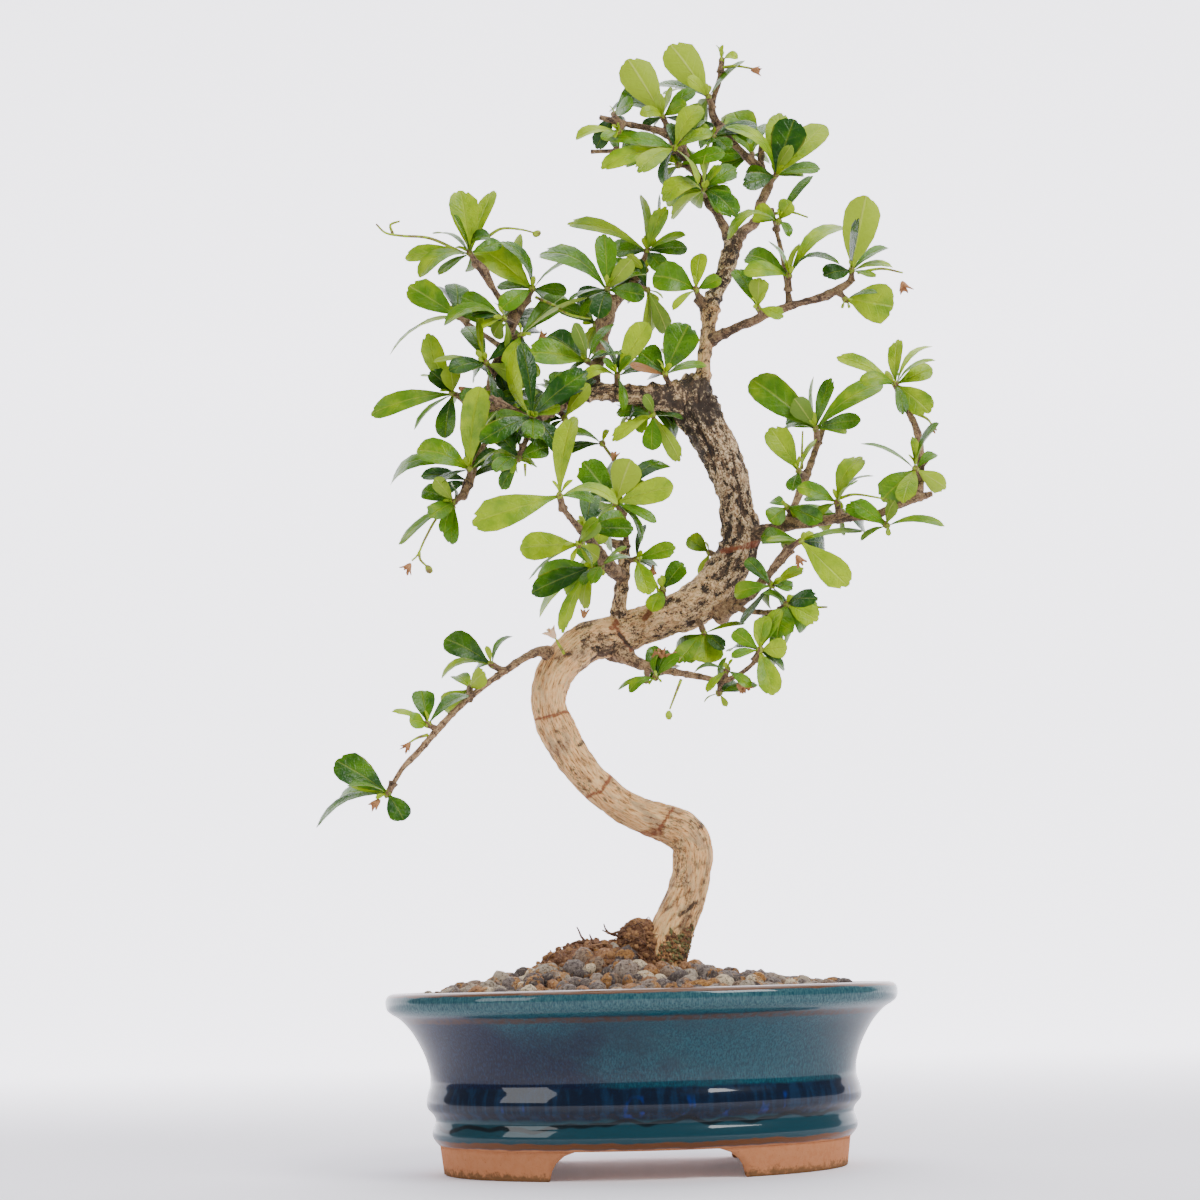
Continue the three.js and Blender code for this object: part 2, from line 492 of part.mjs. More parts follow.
    on: [10, 199, -11], at: [9.6, 195.2, -14], fill: 0,
    leaves: [
      [-1.5, 189.5, -2, 6, 46, 0.2, 0.6], [-6, 190.5, 6, 4.5, 60, 0.12, 0.5],
      [20, 204, -5, 6, 40, 0.1, 0.45],
    ],
  },
  left_low_fork: {
    on: [-52.5, 199.4, -20], at: [-57.6, 202.4, -22], fill: 1,
    leaves: [
      [-76.5, 213.5, -3, 11.5, 18, 0.14, 0.2], [-78, 197, 2, 6, 58, 0.24, 0.82],
      [-48.5, 213.8, 3, 5, 60, 0.2, 0.4],
    ],
  },
  left_low_mid: {
    on: [-67, 188.4, -27], at: [-66.4, 192.6, -23], fill: 0,
    leaves: [
      [-77, 184, 4, 9.5, 20, 0.2, 0.78], [-60, 199, 5, 8.5, 30, 0.1, 0.82],
      [-72, 198, 6, 8, 40, 0.1, 0.7],
    ],
  },
  left_low_elbow: {
    on: [-80, 176, -31], at: [-84, 178.4, -32], fill: 1,
    leaves: [
      [-86.5, 192.5, 3, 9.5, 12, 0.08, 0.35], [-98.5, 184, -2, 4.5, 56, 0.14, 0.92],
      [-91.5, 180, -7, 7.5, 30, 0.1, 0.78],
    ],
  },
  left_low_tip: {
    on: [-98.2, 155, -35], at: [-100.4, 150.6, -35], fill: 1,
    leaves: [
      [-121.5, 164.5, -3, 13.5, 18, 0.08, 0.2], [-129.5, 137.5, 3, 7, 64, 0.18, 0.3],
      [-94, 139.5, -4, 9.5, 12, 0.06, 0.14], [-115.5, 157.5, 6, 8.5, 20, 0.06, 0.88],
      [-117, 154, -8, 4.5, 74, 0.1, 0.4],
    ],
  },
  inner_low: {
    on: [68, 261, -3], at: [66.2, 265, -7], fill: 0,
    leaves: [
      [58.5, 259, -3, 9, 14, 0.04, 0.6], [86, 261.5, 12, 6, 54, 0.05, 0.5],
      [60, 268, 4, 6, 40, 0.1, 0.35],
    ],
  },
  inner_mid: {
    on: [74.4, 277, 3], at: [71.6, 280, -1], fill: 0,
    leaves: [
      [60.5, 299, -2, 11.5, 14, 0.06, 0.78], [69, 271.5, -4, 7, 26, 0.1, 0.3],
      [79.5, 293.5, 5, 4.5, 56, 0.05, 0.92],
    ],
  },
  inner_top: {
    on: [80.2, 291.5, 8], at: [79.4, 298, 4], fill: 1,
    leaves: [
      [53.5, 320, 3, 14.5, 14, 0.08, 0.5], [71, 311, -5, 9.5, 16, 0.06, 0.06],
      [87, 319.5, -2, 7, 28, 0.05, 0.3], [67.5, 303, 7, 8, 20, 0.1, 0.2],
      [66, 298, -3, 4.5, 74, 0.14, 0.2], [108, 316.5, -3, 11.5, 40, 0.12, 0.66],
      [98.5, 301, -9, 7.5, 20, 0.1, 0.34], [92.5, 297, 5, 6, 30, 0.1, 0.75],
      [79.5, 320.5, 8, 4.5, 70, 0.05, 0.6],
    ],
  },
  right_spur: {
    on: [87.6, 260.6, -10], at: [87, 266.4, -11], fill: 1,
    leaves: [
      [71, 273.5, -2, 7.5, 28, 0.1, 0.62], [98, 285.5, -3, 11, 34, 0.2, 0.78],
      [103, 277, 5, 4.5, 76, 0.18, 0.3], [96, 275, -8, 6, 98, 0.08, 0.45], [78, 261, 6, 6, 50, 0.08, 0.7],
    ],
  },
  right_low_spur: {
    on: [102.5, 260.2, -13], at: [107, 256, -16], fill: 1,
    leaves: [
      [131, 255, -3, 6, 56, 0.14, 0.62], [94, 266, -6, 7.5, 22, 0.06, 0.42],
      [96, 250, 3, 5, 60, 0.1, 0.6], [111, 266.5, -9, 7, 40, 0.1, 0.3],
    ],
  },
  right_end_mid: {
    on: [121.9, 275.6, -14], at: [120.2, 279.6, -18], fill: 1,
    leaves: [
      [98, 291, 3, 5, 72, 0.1, 0.5], [119.5, 293.5, -3, 5, 46, 0.06, 0.75],
      [105.5, 266.5, -3, 12, 18, 0.08, 0.6], [114.5, 265.5, 3, 9, 24, 0.08, 0.86],
      [132.5, 271, 5, 8.5, 12, 0.06, 0.82], [129, 286, 2, 5.5, 36, 0.1, 0.4],
    ],
  },
  right_end_tip: {
    on: [115.4, 311, -10], at: [113.6, 316, -10.5], fill: 1,
    leaves: [
      [89.5, 328.5, -2, 7.5, 38, 0.1, 0.8], [115.5, 335.5, 3, 7, 28, 0.05, 0.8],
      [130, 332, 5, 5.5, 58, 0.18, 0.95], [131, 326, -2, 5, 70, 0.16, 0.7],
      [129.5, 322.5, -6, 8, 20, 0.05, 0.85], [98.5, 317, -6, 7.5, 40, 0.2, 0.62],
      [127.5, 303.5, 2, 11, 18, 0.08, 0.8], [116, 303, -8, 6, 30, 0.1, 0.35],
    ],
  },
};

// Draws that come out the same every time, a stream for the pebbles and one for the leaves by rule
function stream(seed) {
  let drawn = seed;
  return (low, high) => {
    drawn = (drawn * 48271) % 2147483647;
    return low + ((high - low) * drawn) / 2147483647;
  };
}

const drawPebble = stream(7331);
const drawLeaf = stream(20151);

// The eye's scale at distance y behind the plane y = 0
function nearness(y) {
  return 1 - y / EYE.y;
}

// The point at distance y behind the plane that the eye sees at x and z on it
function behind(x, z, y) {
  return new THREE.Vector3(x, 0, z).sub(EYE).multiplyScalar(nearness(y)).add(EYE);
}

function seen([x, z, depth]) {
  return behind(x, z, DEPTH_PART * depth);
}

function solidOf(points, faces) {
  const vertProperties = Float32Array.from(points.flatMap((p) => [p.x, p.y, p.z]));
  const triVerts = Uint32Array.from(faces.flat());
  return new wasm.Manifold(new wasm.Mesh({ numProp: 3, vertProperties, triVerts }));
}

function solidFrom(geometry) {
  geometry.deleteAttribute('normal');
  geometry.deleteAttribute('uv');
  const merged = mergeVertices(geometry);
  const vertProperties = new Float32Array(merged.attributes.position.array);
  const triVerts = new Uint32Array(merged.index.array);
  return new wasm.Manifold(new wasm.Mesh({ numProp: 3, vertProperties, triVerts }));
}

function unite(solids) {
  return solids.reduce((whole, solid) => whole.add(solid));
}

// The largest body alone, without the crumbs and closed hollows that cutting and joining leave
function withoutCrumbs(solid) {
  const bodies = solid.decompose();
  return bodies.reduce((largest, body) => (body.volume() > largest.volume() ? body : largest));
}

function cornersApart(solid) {
  const { vertProperties } = solid.getMesh();
  const spots = new Set();
  for (let i = 0; i < vertProperties.length; i += 3) {
    spots.add(Array.from(vertProperties.slice(i, i + 3), (value) => value.toFixed(3)).join());
  }
  return spots.size === vertProperties.length / 3;
}

function eased(solid) {
  const whole = solid.asOriginal();
  return FINEST_STEPS.map((step) => withoutCrumbs(whole.simplify(step))).find(cornersApart);
}

function meshOf(name, solid, color, roughness) {
  const { vertProperties, triVerts } = eased(solid).getMesh();
  const geometry = new THREE.BufferGeometry();
  geometry.setAttribute('position', new THREE.BufferAttribute(new Float32Array(vertProperties), 3));
  geometry.setIndex(new THREE.BufferAttribute(new Uint32Array(triVerts), 1));
  geometry.computeVertexNormals();
  const mesh = new THREE.Mesh(geometry, new THREE.MeshStandardMaterial({ color, roughness, metalness: 0 }));
  mesh.name = name;
  return mesh;
}

// A closed skin through rings of equal count, from a pole before the first to a pole after the last
function loft(rings, start, end) {
  const count = rings[0].length;
  const faces = [];
  const first = 1;
  const last = first + (rings.length - 1) * count;
  const endIndex = last + count;
  for (let j = 0; j < count; j += 1) {
    const next = (j + 1) % count;
    faces.push([0, first + next, first + j]);
    faces.push([endIndex, last + j, last + next]);
    for (let i = 0; i < rings.length - 1; i += 1) {
      const here = first + i * count;
      const there = here + count;
      faces.push([here + j, here + next, there + next], [here + j, there + next, there + j]);
    }
  }
  return solidOf([start, ...rings.flat(), end], faces);
}

function ovalRing(halfLength, halfWidth, height) {
  return Array.from({ length: OVAL_SIDES }, (_, j) => {
    const angle = (2 * Math.PI * j) / OVAL_SIDES;
    const x = halfLength * Math.cos(angle);
    const y = halfWidth * Math.sin(angle);
    return new THREE.Vector3(x, y, height(x, y));
  });
}

function potRing([half, z], shrink = 0) {
  return ovalRing(half - shrink, half - POT_NARROWER - shrink, () => z);
}

// Pot: one turned-up skin with its foot ring, opened by the arch through front and back and two drains
function makePot() {
  const ringInside = POT_OUTSIDE[0][0] - FOOT_RING;
  const profile = [[ringInside, POT_UNDERSIDE], [ringInside, 0], ...POT_OUTSIDE, ...POT_INSIDE];
  const skin = loft(
    profile.map((point) => potRing(point)),
    new THREE.Vector3(0, 0, POT_UNDERSIDE),
    new THREE.Vector3(0, 0, POT_FLOOR),
  );
  return skin.subtract(unite([makeArch(), makeDrain(-1), makeDrain(1)]));
}

function makeArch() {
  const shape = new THREE.Shape();
  shape.moveTo(-ARCH_HALF, -1);
  shape.lineTo(ARCH_HALF, -1);
  shape.lineTo(ARCH_HALF, 0);
  shape.absarc(ARCH_HALF - ARCH_CORNER, 0, ARCH_CORNER, 0, Math.PI / 2, false);
  shape.absarc(ARCH_CORNER - ARCH_HALF, 0, ARCH_CORNER, Math.PI / 2, Math.PI, false);
  const depth = 2 * POT_OUTSIDE[1][0];
  const geometry = new THREE.ExtrudeGeometry(shape, { depth, bevelEnabled: false, curveSegments: 4 });
  geometry.translate(0, 0, -depth / 2);
  geometry.rotateX(Math.PI / 2);
  return solidFrom(geometry);
}

function makeDrain(side) {
  const geometry = new THREE.CylinderGeometry(DRAIN_RADIUS, DRAIN_RADIUS, 3 * POT_FLOOR, 14);
  geometry.rotateX(Math.PI / 2);
  geometry.translate((side * DRAIN_SPACING) / 2, 0, POT_FLOOR);
  return solidFrom(geometry);
}

function makeScreen(side) {
  const plate = new THREE.BoxGeometry(SCREEN_SIZE, SCREEN_SIZE, SCREEN_THICK);
  const slots = [-2, -1, 0, 1, 2].map((place) => {
    const slot = new THREE.BoxGeometry(SCREEN_SLOT, 0.75 * SCREEN_SIZE, 3 * SCREEN_THICK);
    slot.translate(2 * SCREEN_SLOT * place, 0, 0);
    return solidFrom(slot);
  });
  const screen = solidFrom(plate).subtract(unite(slots));
  return screen.translate([(side * DRAIN_SPACING) / 2, 0, POT_FLOOR + SEAT_GAP + SCREEN_THICK / 2]);
}

function makeScreenRoom(side) {
  const size = SCREEN_SIZE + 2 * SEAT_GAP;
  const geometry = new THREE.BoxGeometry(size, size, SCREEN_THICK + 4 * SEAT_GAP);
  geometry.translate((side * DRAIN_SPACING) / 2, 0, POT_FLOOR + SCREEN_THICK / 2 + SEAT_GAP);
  return solidFrom(geometry);
}

// Soil: the heap's height over the pot's oval
function heapHeight(x, y) {
  const u = (x - HEAP_AT[0]) / HEAP_SPREAD[0];
  const v = (y - HEAP_AT[1]) / HEAP_SPREAD[1];
  return GRAVEL_EDGE + HEAP_TOP * Math.exp(-u * u - v * v);
}

// A lumpy ellipsoid: each corner is pushed in or out by waves of its own direction
function makeLump(at, half, grow) {
  const geometry = new THREE.IcosahedronGeometry(1, 3);
  const position = geometry.attributes.position;
  const corner = new THREE.Vector3();
  for (let i = 0; i < position.count; i += 1) {
    corner.fromBufferAttribute(position, i);
    const swell = 1 + LUMP * Math.sin(5 * corner.x + 2) * Math.sin(4 * corner.y + 1) * Math.cos(6 * corner.z);
    const reach = new THREE.Vector3(...half).multiplyScalar(swell).addScalar(grow);
    corner.multiply(reach);
    position.setXYZ(i, at[0] + corner.x, at[1] + corner.y, at[2] + corner.z);
  }
  return solidFrom(geometry);
}

function makeRootBall(grow) {
  const ball = makeLump(ROOT_BALL_AT, ROOT_BALL_HALF, grow);
  return ball.add(makeLump(ROOT_CLUMP_AT, ROOT_CLUMP_HALF, grow));
}

function makePebble(x, y) {
  const radius = drawPebble(PEBBLE_RADIUS[0], PEBBLE_RADIUS[1]);
  const geometry = new THREE.IcosahedronGeometry(radius, 0);
  geometry.rotateX(drawPebble(0, Math.PI));
  geometry.rotateZ(drawPebble(0, Math.PI));
  geometry.scale(1, drawPebble(0.85, 1.05), PEBBLE_FLATNESS);
  geometry.translate(x, y, heapHeight(x, y) - PEBBLE_SUNK);
  return solidFrom(geometry);
}

// Pebbles stand in staggered rows, each a little off its place, as far as the rim leaves room
function makePebbles() {
  const pebbles = [];
  const rise = PEBBLE_PITCH * Math.sin(Math.PI / 3);
  for (let row = -5; row <= 5; row += 1) {
    for (let column = -7; column <= 7; column += 1) {
      const x = PEBBLE_PITCH * (column + (row % 2 ? 0.5 : 0)) + drawPebble(-2, 2);
      const y = rise * row + drawPebble(-2, 2);
      if ((x / PEBBLE_FIELD[0]) ** 2 + (y / PEBBLE_FIELD[1]) ** 2 < 1) pebbles.push(makePebble(x, y));
    }
  }
  return unite(pebbles);
}

function makeGravel(rootBallRoom, trunkRoom) {
  const wall = [...POT_INSIDE].reverse().filter(([, z]) => z < GRAVEL_EDGE);
  const lifted = wall.map(([half, z], i) => potRing([half, i ? z : z + SEAT_GAP], SEAT_GAP));
  const [rimHalf] = POT_INSIDE[1];
  const tops = GRAVEL_RINGS.map((share) => {
    const half = (rimHalf - 2) * share;
    return ovalRing(half, (rimHalf - 2 - POT_NARROWER) * share, heapHeight);
  });
  const bottom = new THREE.Vector3(0, 0, POT_FLOOR + SEAT_GAP);
  const heap = loft([...lifted, ...tops], bottom, new THREE.Vector3(0, 0, heapHeight(0, 0)));
  const rooms = unite([rootBallRoom, trunkRoom, makeScreenRoom(-1), makeScreenRoom(1)]);
  return heap.add(makePebbles()).subtract(rooms);
}

// Wood: a limb is rings of a few sides round its points, with short blunt ends
function makeLimb(points, sides, { rough = 0, grow = 0 } = {}) {
  const centres = points.map(seen);
  const final = centres.length - 1;
  let across = new THREE.Vector3(0, 1, 0);
  const alongs = centres.map((_, i) => {
    const ahead = centres[Math.min(i + 1, final)].clone();
    return ahead.sub(centres[Math.max(i - 1, 0)]).normalize();
  });
  const rings = centres.map((centre, i) => {
    across = across.clone().addScaledVector(alongs[i], -across.dot(alongs[i])).normalize();
    const side = alongs[i].clone().cross(across);
    const radius = points[i][3] * nearness(centre.y) + grow;
    return Array.from({ length: sides }, (_, j) => {
      const angle = (2 * Math.PI * j) / sides;
      const reach = radius * (1 + rough * Math.sin(3 * angle + 1.9 * i));
      const corner = centre.clone().addScaledVector(across, reach * Math.cos(angle));
      return corner.addScaledVector(side, reach * Math.sin(angle));
    });
  });
  const start = centres[0].clone().addScaledVector(alongs[0], -LIMB_BLUNT * points[0][3] - grow);
  const end = centres[final].clone().addScaledVector(alongs[final], LIMB_BLUNT * points[final][3] + grow);
  return loft(rings, start, end);
}

// A spur stops short of the bud that its leaves grow from
function makeSpur({ on, at }) {
  const root = new THREE.Vector3(...on);
  const reach = new THREE.Vector3(...at).sub(root);
  const stop = 1 - (BUD_RADIUS + SEAT_GAP + LIMB_BLUNT * SPUR_RADIUS) / seen(at).distanceTo(seen(on));
  const end = root.addScaledVector(reach, stop);
  return makeLimb([[...on, 1.3 * SPUR_RADIUS], [...end.toArray(), SPUR_RADIUS]], 3);
}

function sidesFor(radius) {
  if (radius > 4) return 7;
  return radius > 2.4 ? 5 : 4;
}

function makeWood() {
  const limbs = Object.values(LIMBS).map((points) => makeLimb(points, sidesFor(points[0][3])));
  const spurs = Object.values(TUFTS).map(makeSpur);
  return unite([makeLimb(TRUNK, TRUNK_SIDES, { rough: TRUNK_ROUGH }), ...limbs, ...spurs]);
}

// A blade turned to face the viewer, and then up by its turn, arched along its length
function makeBlade(base, tip, { width, turn, arch, hand }, grow = 0) {
  const along = tip.clone().sub(base);
  const length = along.length();
  along.normalize();
  const toEye = EYE.clone().sub(base);
  const front = toEye.addScaledVector(along, -toEye.dot(along)).normalize();
  const flank = along.clone().cross(front);
  const angle = THREE.MathUtils.degToRad(flank.z < 0 ? -turn : turn);
  const face = front.multiplyScalar(Math.cos(angle)).addScaledVector(flank, Math.sin(angle));
  const side = along.clone().cross(face);
  const corners = [1, -1].flatMap((which) => LEAF_OUTLINE.map(([share, edge]) => {
    const slope = 4 * arch * (1 - 2 * share);
    const normal = face.clone().addScaledVector(along, -slope).normalize();
    return base.clone()
      .addScaledVector(along, LEAF_START + (length + grow - LEAF_START) * share)
      .addScaledVector(face, 4 * arch * length * share * (1 - share))
      .addScaledVector(side, hand * edge * (width / 2 + grow))
      .addScaledVector(normal, which * (LEAF_THICK / 2 + grow));
  }));
  return solidOf(corners, hand > 0 ? BLADE_FACES : BLADE_FACES.map(([a, b, c]) => [a, c, b]));
}

function bladeFaces() {
  const count = LEAF_OUTLINE.length;
  const front = LEAF_FACES.map(([a, b, c]) => [a, c, b]);
  const back = LEAF_FACES.map((face) => face.map((corner) => corner + count));
  const edge = LEAF_OUTLINE.flatMap((_, i) => {
    const next = (i + 1) % count;
    return [[i, next, next + count], [i, next + count, i + count]];
  });
  return [...front, ...back, ...edge];
}

const BLADE_FACES = bladeFaces();

function boxesMeet(a, b) {
  return [0, 1, 2].every((axis) => a.min[axis] <= b.max[axis] && b.min[axis] <= a.max[axis]);
}

// The first tip that keeps a leaf clear of the wood, of every other tuft and, if it can, of its own tuft
function clearBlade(base, [x, z, depth, width, turn, arch], hand, others, own) {
  for (const neighbours of [[...others, ...own], others]) {
    for (const shift of LEAF_SHIFTS) {
      const tipDepth = base.y + depth + shift;
      const tip = behind(x, z, tipDepth);
      const look = { width: width * nearness(tipDepth), turn, arch, hand };
      const room = makeBlade(base, tip, look, LEAF_CLEAR);
      const box = room.boundingBox();
      const near = neighbours.filter((other) => boxesMeet(box, other.box));
      if (near.every((other) => other.solid.intersect(room).isEmpty())) return makeBlade(base, tip, look);
    }
  }
  return null;
}

// A leaf by rule stands round the bud, more often behind it than in front
function fillLeaf(bud) {
  const turnRound = drawLeaf(0, 2 * Math.PI);
  const rise = drawLeaf(-0.2, 0.9);
  const length = drawLeaf(FILL_LENGTH[0], FILL_LENGTH[1]);
  const heading = new THREE.Vector3(Math.cos(turnRound), 0.5 + 0.5 * Math.sin(turnRound), rise).normalize();
  const tip = heading.multiplyScalar(length).add(bud);
  const scale = nearness(tip.y);
  const onPlane = tip.clone().sub(EYE).divideScalar(scale).add(EYE);
  const turn = drawLeaf(10, 80);
  return [onPlane.x, onPlane.z, tip.y - bud.y, FILL_WIDTH * length, turn, 0.1];
}

// A bud has a corner towards what it grows from
function makeBud(at, from, radius) {
  const geometry = new THREE.OctahedronGeometry(radius);
  const along = at.clone().sub(from).normalize();
  geometry.applyQuaternion(new THREE.Quaternion().setFromUnitVectors(new THREE.Vector3(0, 0, 1), along));
  geometry.translate(at.x, at.y, at.z);
  return solidFrom(geometry);
}

function withBox(solid) {
  return { solid, box: solid.boundingBox() };
}

function makeLeaves(base, leaves, others) {
  const crowding = makeBud(base, new THREE.Vector3(), BUD_CROWDING);
  const own = [];
  return leaves.flatMap((leaf, i) => {
    const made = clearBlade(base, leaf, i % 2 ? -1 : 1, others, own);
    if (!made) return [];
    own.push(withBox(made.subtract(crowding)));
    return [made];
  });
}

function makeTuft({ on, at, leaves, fill, shoot, shoot_leaves: shootLeaves }, others) {
  const bud = seen(at);
  const grown = [...leaves, ...Array.from({ length: fill }, () => fillLeaf(bud))];
  const pieces = [makeBud(bud, seen(on), BUD_RADIUS), ...makeLeaves(bud, grown, others)];
  if (shoot) {
    const shootTip = seen(shoot[shoot.length - 1]);
    pieces.push(makeLimb(shoot, 4), makeBud(shootTip, bud, BUD_RADIUS));
    pieces.push(...makeLeaves(shootTip, shootLeaves, others));
  }
  return pieces;
}

function makeLeafMeshes(wood) {
  const taken = [withBox(wood)];
  return Object.entries(TUFTS).map(([name, tuft]) => {
    const pieces = makeTuft(tuft, taken);
    taken.push(...pieces.map(withBox));
    const youth = tuft.leaves.reduce((sum, leaf) => sum + leaf[6], 0) / tuft.leaves.length;
    const color = new THREE.Color(OLD_GREEN).lerp(new THREE.Color(YOUNG_GREEN), Math.min(1, youth));
    return meshOf(`leaves_${name}`, unite(pieces), color, 0.35);
  });
}

const wood = makeWood();
const trunkRoom = makeLimb(TRUNK.slice(0, 8), TRUNK_SIDES, { rough: TRUNK_ROUGH, grow: SEAT_GAP });
const group = new THREE.Group();
group.add(meshOf('pot', makePot(), 0x2c6470, 0.15));
group.add(meshOf('gravel', makeGravel(makeRootBall(SEAT_GAP), trunkRoom), 0x857c74, 0.85));
group.add(meshOf('root_ball', makeRootBall(0).subtract(trunkRoom), 0x4a3428, 0.95));
group.add(meshOf('drain_screen_left', makeScreen(-1), 0x2a2a2a, 0.6));
group.add(meshOf('drain_screen_right', makeScreen(1), 0x2a2a2a, 0.6));
group.add(meshOf('trunk_and_branches', wood, 0xb08a63, 0.8));
group.add(...makeLeafMeshes(wood));

// The origin is the middle of the whole tree's box, on the surface that the pot stands on
const box = new THREE.Box3().setFromObject(group);
const middle = box.getCenter(new THREE.Vector3());
group.position.set(-middle.x, -middle.y, -box.min.z);

export default group;
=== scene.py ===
"""The looks of a fukien tea bonsai in a glazed oval pot, laid over its solids."""

import math

import bpy
import numpy as np
from mathutils import Matrix, Vector
from mathutils.bvhtree import BVHTree
from mathutils.kdtree import KDTree


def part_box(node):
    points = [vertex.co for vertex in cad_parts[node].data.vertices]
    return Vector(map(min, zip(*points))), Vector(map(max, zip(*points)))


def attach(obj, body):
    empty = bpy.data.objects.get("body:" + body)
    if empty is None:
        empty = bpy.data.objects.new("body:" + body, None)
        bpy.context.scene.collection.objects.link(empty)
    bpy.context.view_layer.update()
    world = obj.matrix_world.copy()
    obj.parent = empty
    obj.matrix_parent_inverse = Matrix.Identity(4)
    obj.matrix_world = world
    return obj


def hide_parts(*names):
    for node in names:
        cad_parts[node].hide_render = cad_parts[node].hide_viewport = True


bl_info = {
    "name": "Fukien Tea Bonsai",
    "version": (1, 0, 0),
    "blender": (4, 2, 0),
    "location": "View3D > Sidebar > Bonsai",
    "description": "Builds the bark, leaves, gravel and glaze of a potted bonsai",
    "category": "Object",
}

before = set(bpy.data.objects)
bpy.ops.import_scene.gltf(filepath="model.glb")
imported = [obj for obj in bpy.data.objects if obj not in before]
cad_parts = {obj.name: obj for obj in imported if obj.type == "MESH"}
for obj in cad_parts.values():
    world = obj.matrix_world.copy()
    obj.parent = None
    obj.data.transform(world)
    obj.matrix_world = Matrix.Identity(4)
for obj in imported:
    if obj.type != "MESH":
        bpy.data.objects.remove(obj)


def srgb(red, green, blue):
    """A colour of 0 to 255 as the linear values that Blender works in."""
    shares = np.array((red, green, blue)) / 255
    return tuple(np.where(shares < 0.04045, shares / 12.92, ((shares + 0.055) / 1.055) ** 2.4))


# Millimetres in a metre, and the pot's middle in the row frame, from which the tree's points run
MM = 1000
POT_LOW, POT_HIGH = (np.array(corner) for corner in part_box("pot"))
MIDDLE = (POT_LOW + POT_HIGH) / 2 * MM * (1, 1, 0)

# The viewer's eye: the tree's points are named where it sees them on the plane y = 0, with a depth in parts
EYE = np.array((-12.3, -900.0, 76.0))
DEPTH_PART = 1.6

# Camera: frame width and focal length in pixels, sensor width, upward tilt and roll in degrees
FRAME_WIDTH = 1200
FOCAL = 2217
SENSOR = 36
PITCH = 9.58
ROLL = 1.5

# Pot: half length of the oval at each height, as the solids have it, and how much narrower it is
POT_OUTSIDE = (
    (81, 11), (82.6, 12.6), (83.9, 15), (83.6, 18), (82.6, 21), (83.6, 23.3), (85.6, 25.5), (86, 28), (85.6, 31),
    (84.6, 34), (84.4, 37), (84.9, 41), (87.2, 47.5), (91.5, 55), (96, 60), (99.4, 62.2), (101.4, 64), (102, 66.5),
    (101.7, 68.6), (100.6, 69.9), (98.8, 70.5),
)
POT_INSIDE = ((97, 70.4), (95.6, 69.6), (94, 68), (81, 50), (76, 26), (70, 18))
POT_NARROWER = 24.5
POT_FLOOR = 18
FOOT = (79.5, 71.5)
FOOT_TOP = 11
FOOT_HEIGHTS = (11.5, 9.6, 7, 4.2, 1.4, 0.35, 0)
ARCH_HALF = 36.5
ARCH_CORNER = 11
DRAINS = (-36, 36)
DRAIN_RADIUS = 7

# Soil: the heap of gravel, its coats by drop and scale, the root ball, and its bare peat, which lies inside its
# edge, left of an x or above a height
GRAVEL_EDGE = 66.5
BED_HALF = 88
HEAP_TOP = 15
HEAP_AT = (-8, 2)
HEAP_SPREAD = (55, 42)
GRAVEL_FIELD = (90, 65.5)
GRAVEL_COATS = ((3.2, 1.05), (0.6, 1.0), (-0.9, 0.62))
GRAVEL_ROWS = range(-12, 13)
GRAVEL_COLUMNS = range(-15, 16)
TOP_COAT_KEPT = 0.3
ROOT_BALL = ((-16, 3, 70), (29, 24, 18.5))
ROOT_CLUMP = ((0, 2, 84), (9, 9, 12.5))
PEAT_EDGE = 6.5
PEAT_LEFT = -36
PEAT_ABOVE = 87.5
CRUMBS_FOR_A_HAIR = 12
CRUMBS_ON_TRUNK = 2600

# Leaf: the outline of the solids and how near them a blade has to be, in millimetres, then rows along it with
# their half width, columns across it, and the leaves by rule
LEAF_OUTLINE = ((0, 0), (0.4, -0.68), (0.74, -1), (1, -0.22), (0.92, 0.2), (0.94, 0.68), (0.58, 1))
LEAF_THICK = 0.8
LEAF_START = 0.8
MOST_AWAY = 0.3
LEAF_SHIFTS = (0, 4, -4, 8, -8, 12, -12, 16, -16, 20)
LEAF_ROWS = ((0, 0.09), (0.12, 0.22), (0.28, 0.54), (0.45, 0.82), (0.62, 0.98), (0.78, 1), (0.92, 0.83), (1, 0.48))
LEAF_COLUMNS = ((-1, 0.97), (-0.68, 0.99), (-0.34, 1), (0, 1), (0.34, 0.99), (0.68, 0.975), (1, 0.95))
FILL_LENGTH = (15, 23)
FILL_WIDTH = 0.4
FURTHER_LEAVES = 3
HIDDEN_LEAVES = 5
FURTHER_TRIES = 24
CLEARANCE = 0.9
CLEAR_PLACES = ((0.45, 0), (0.6, -0.9), (0.6, 0.9), (0.8, -0.9), (0.8, 0.9), (0.8, 0), (1, 0))

# Seeds of the random draws, the first one as the solids have it
FILL_SEED = 20151
FURTHER_SEED = 2718
HIDDEN_SEED = 5150
GRAVEL_SEED = 7331
ROOT_SEED = 411
CUP_SEED = 700

# Noise: the factors of a cell's numbers and of their mix, and half the range of 24 bits
HASH_STEPS = (73856093, 19349663, 83492791)
HASH_MIX = 2654435761
HALF_RANGE = (2**24 - 1) / 2

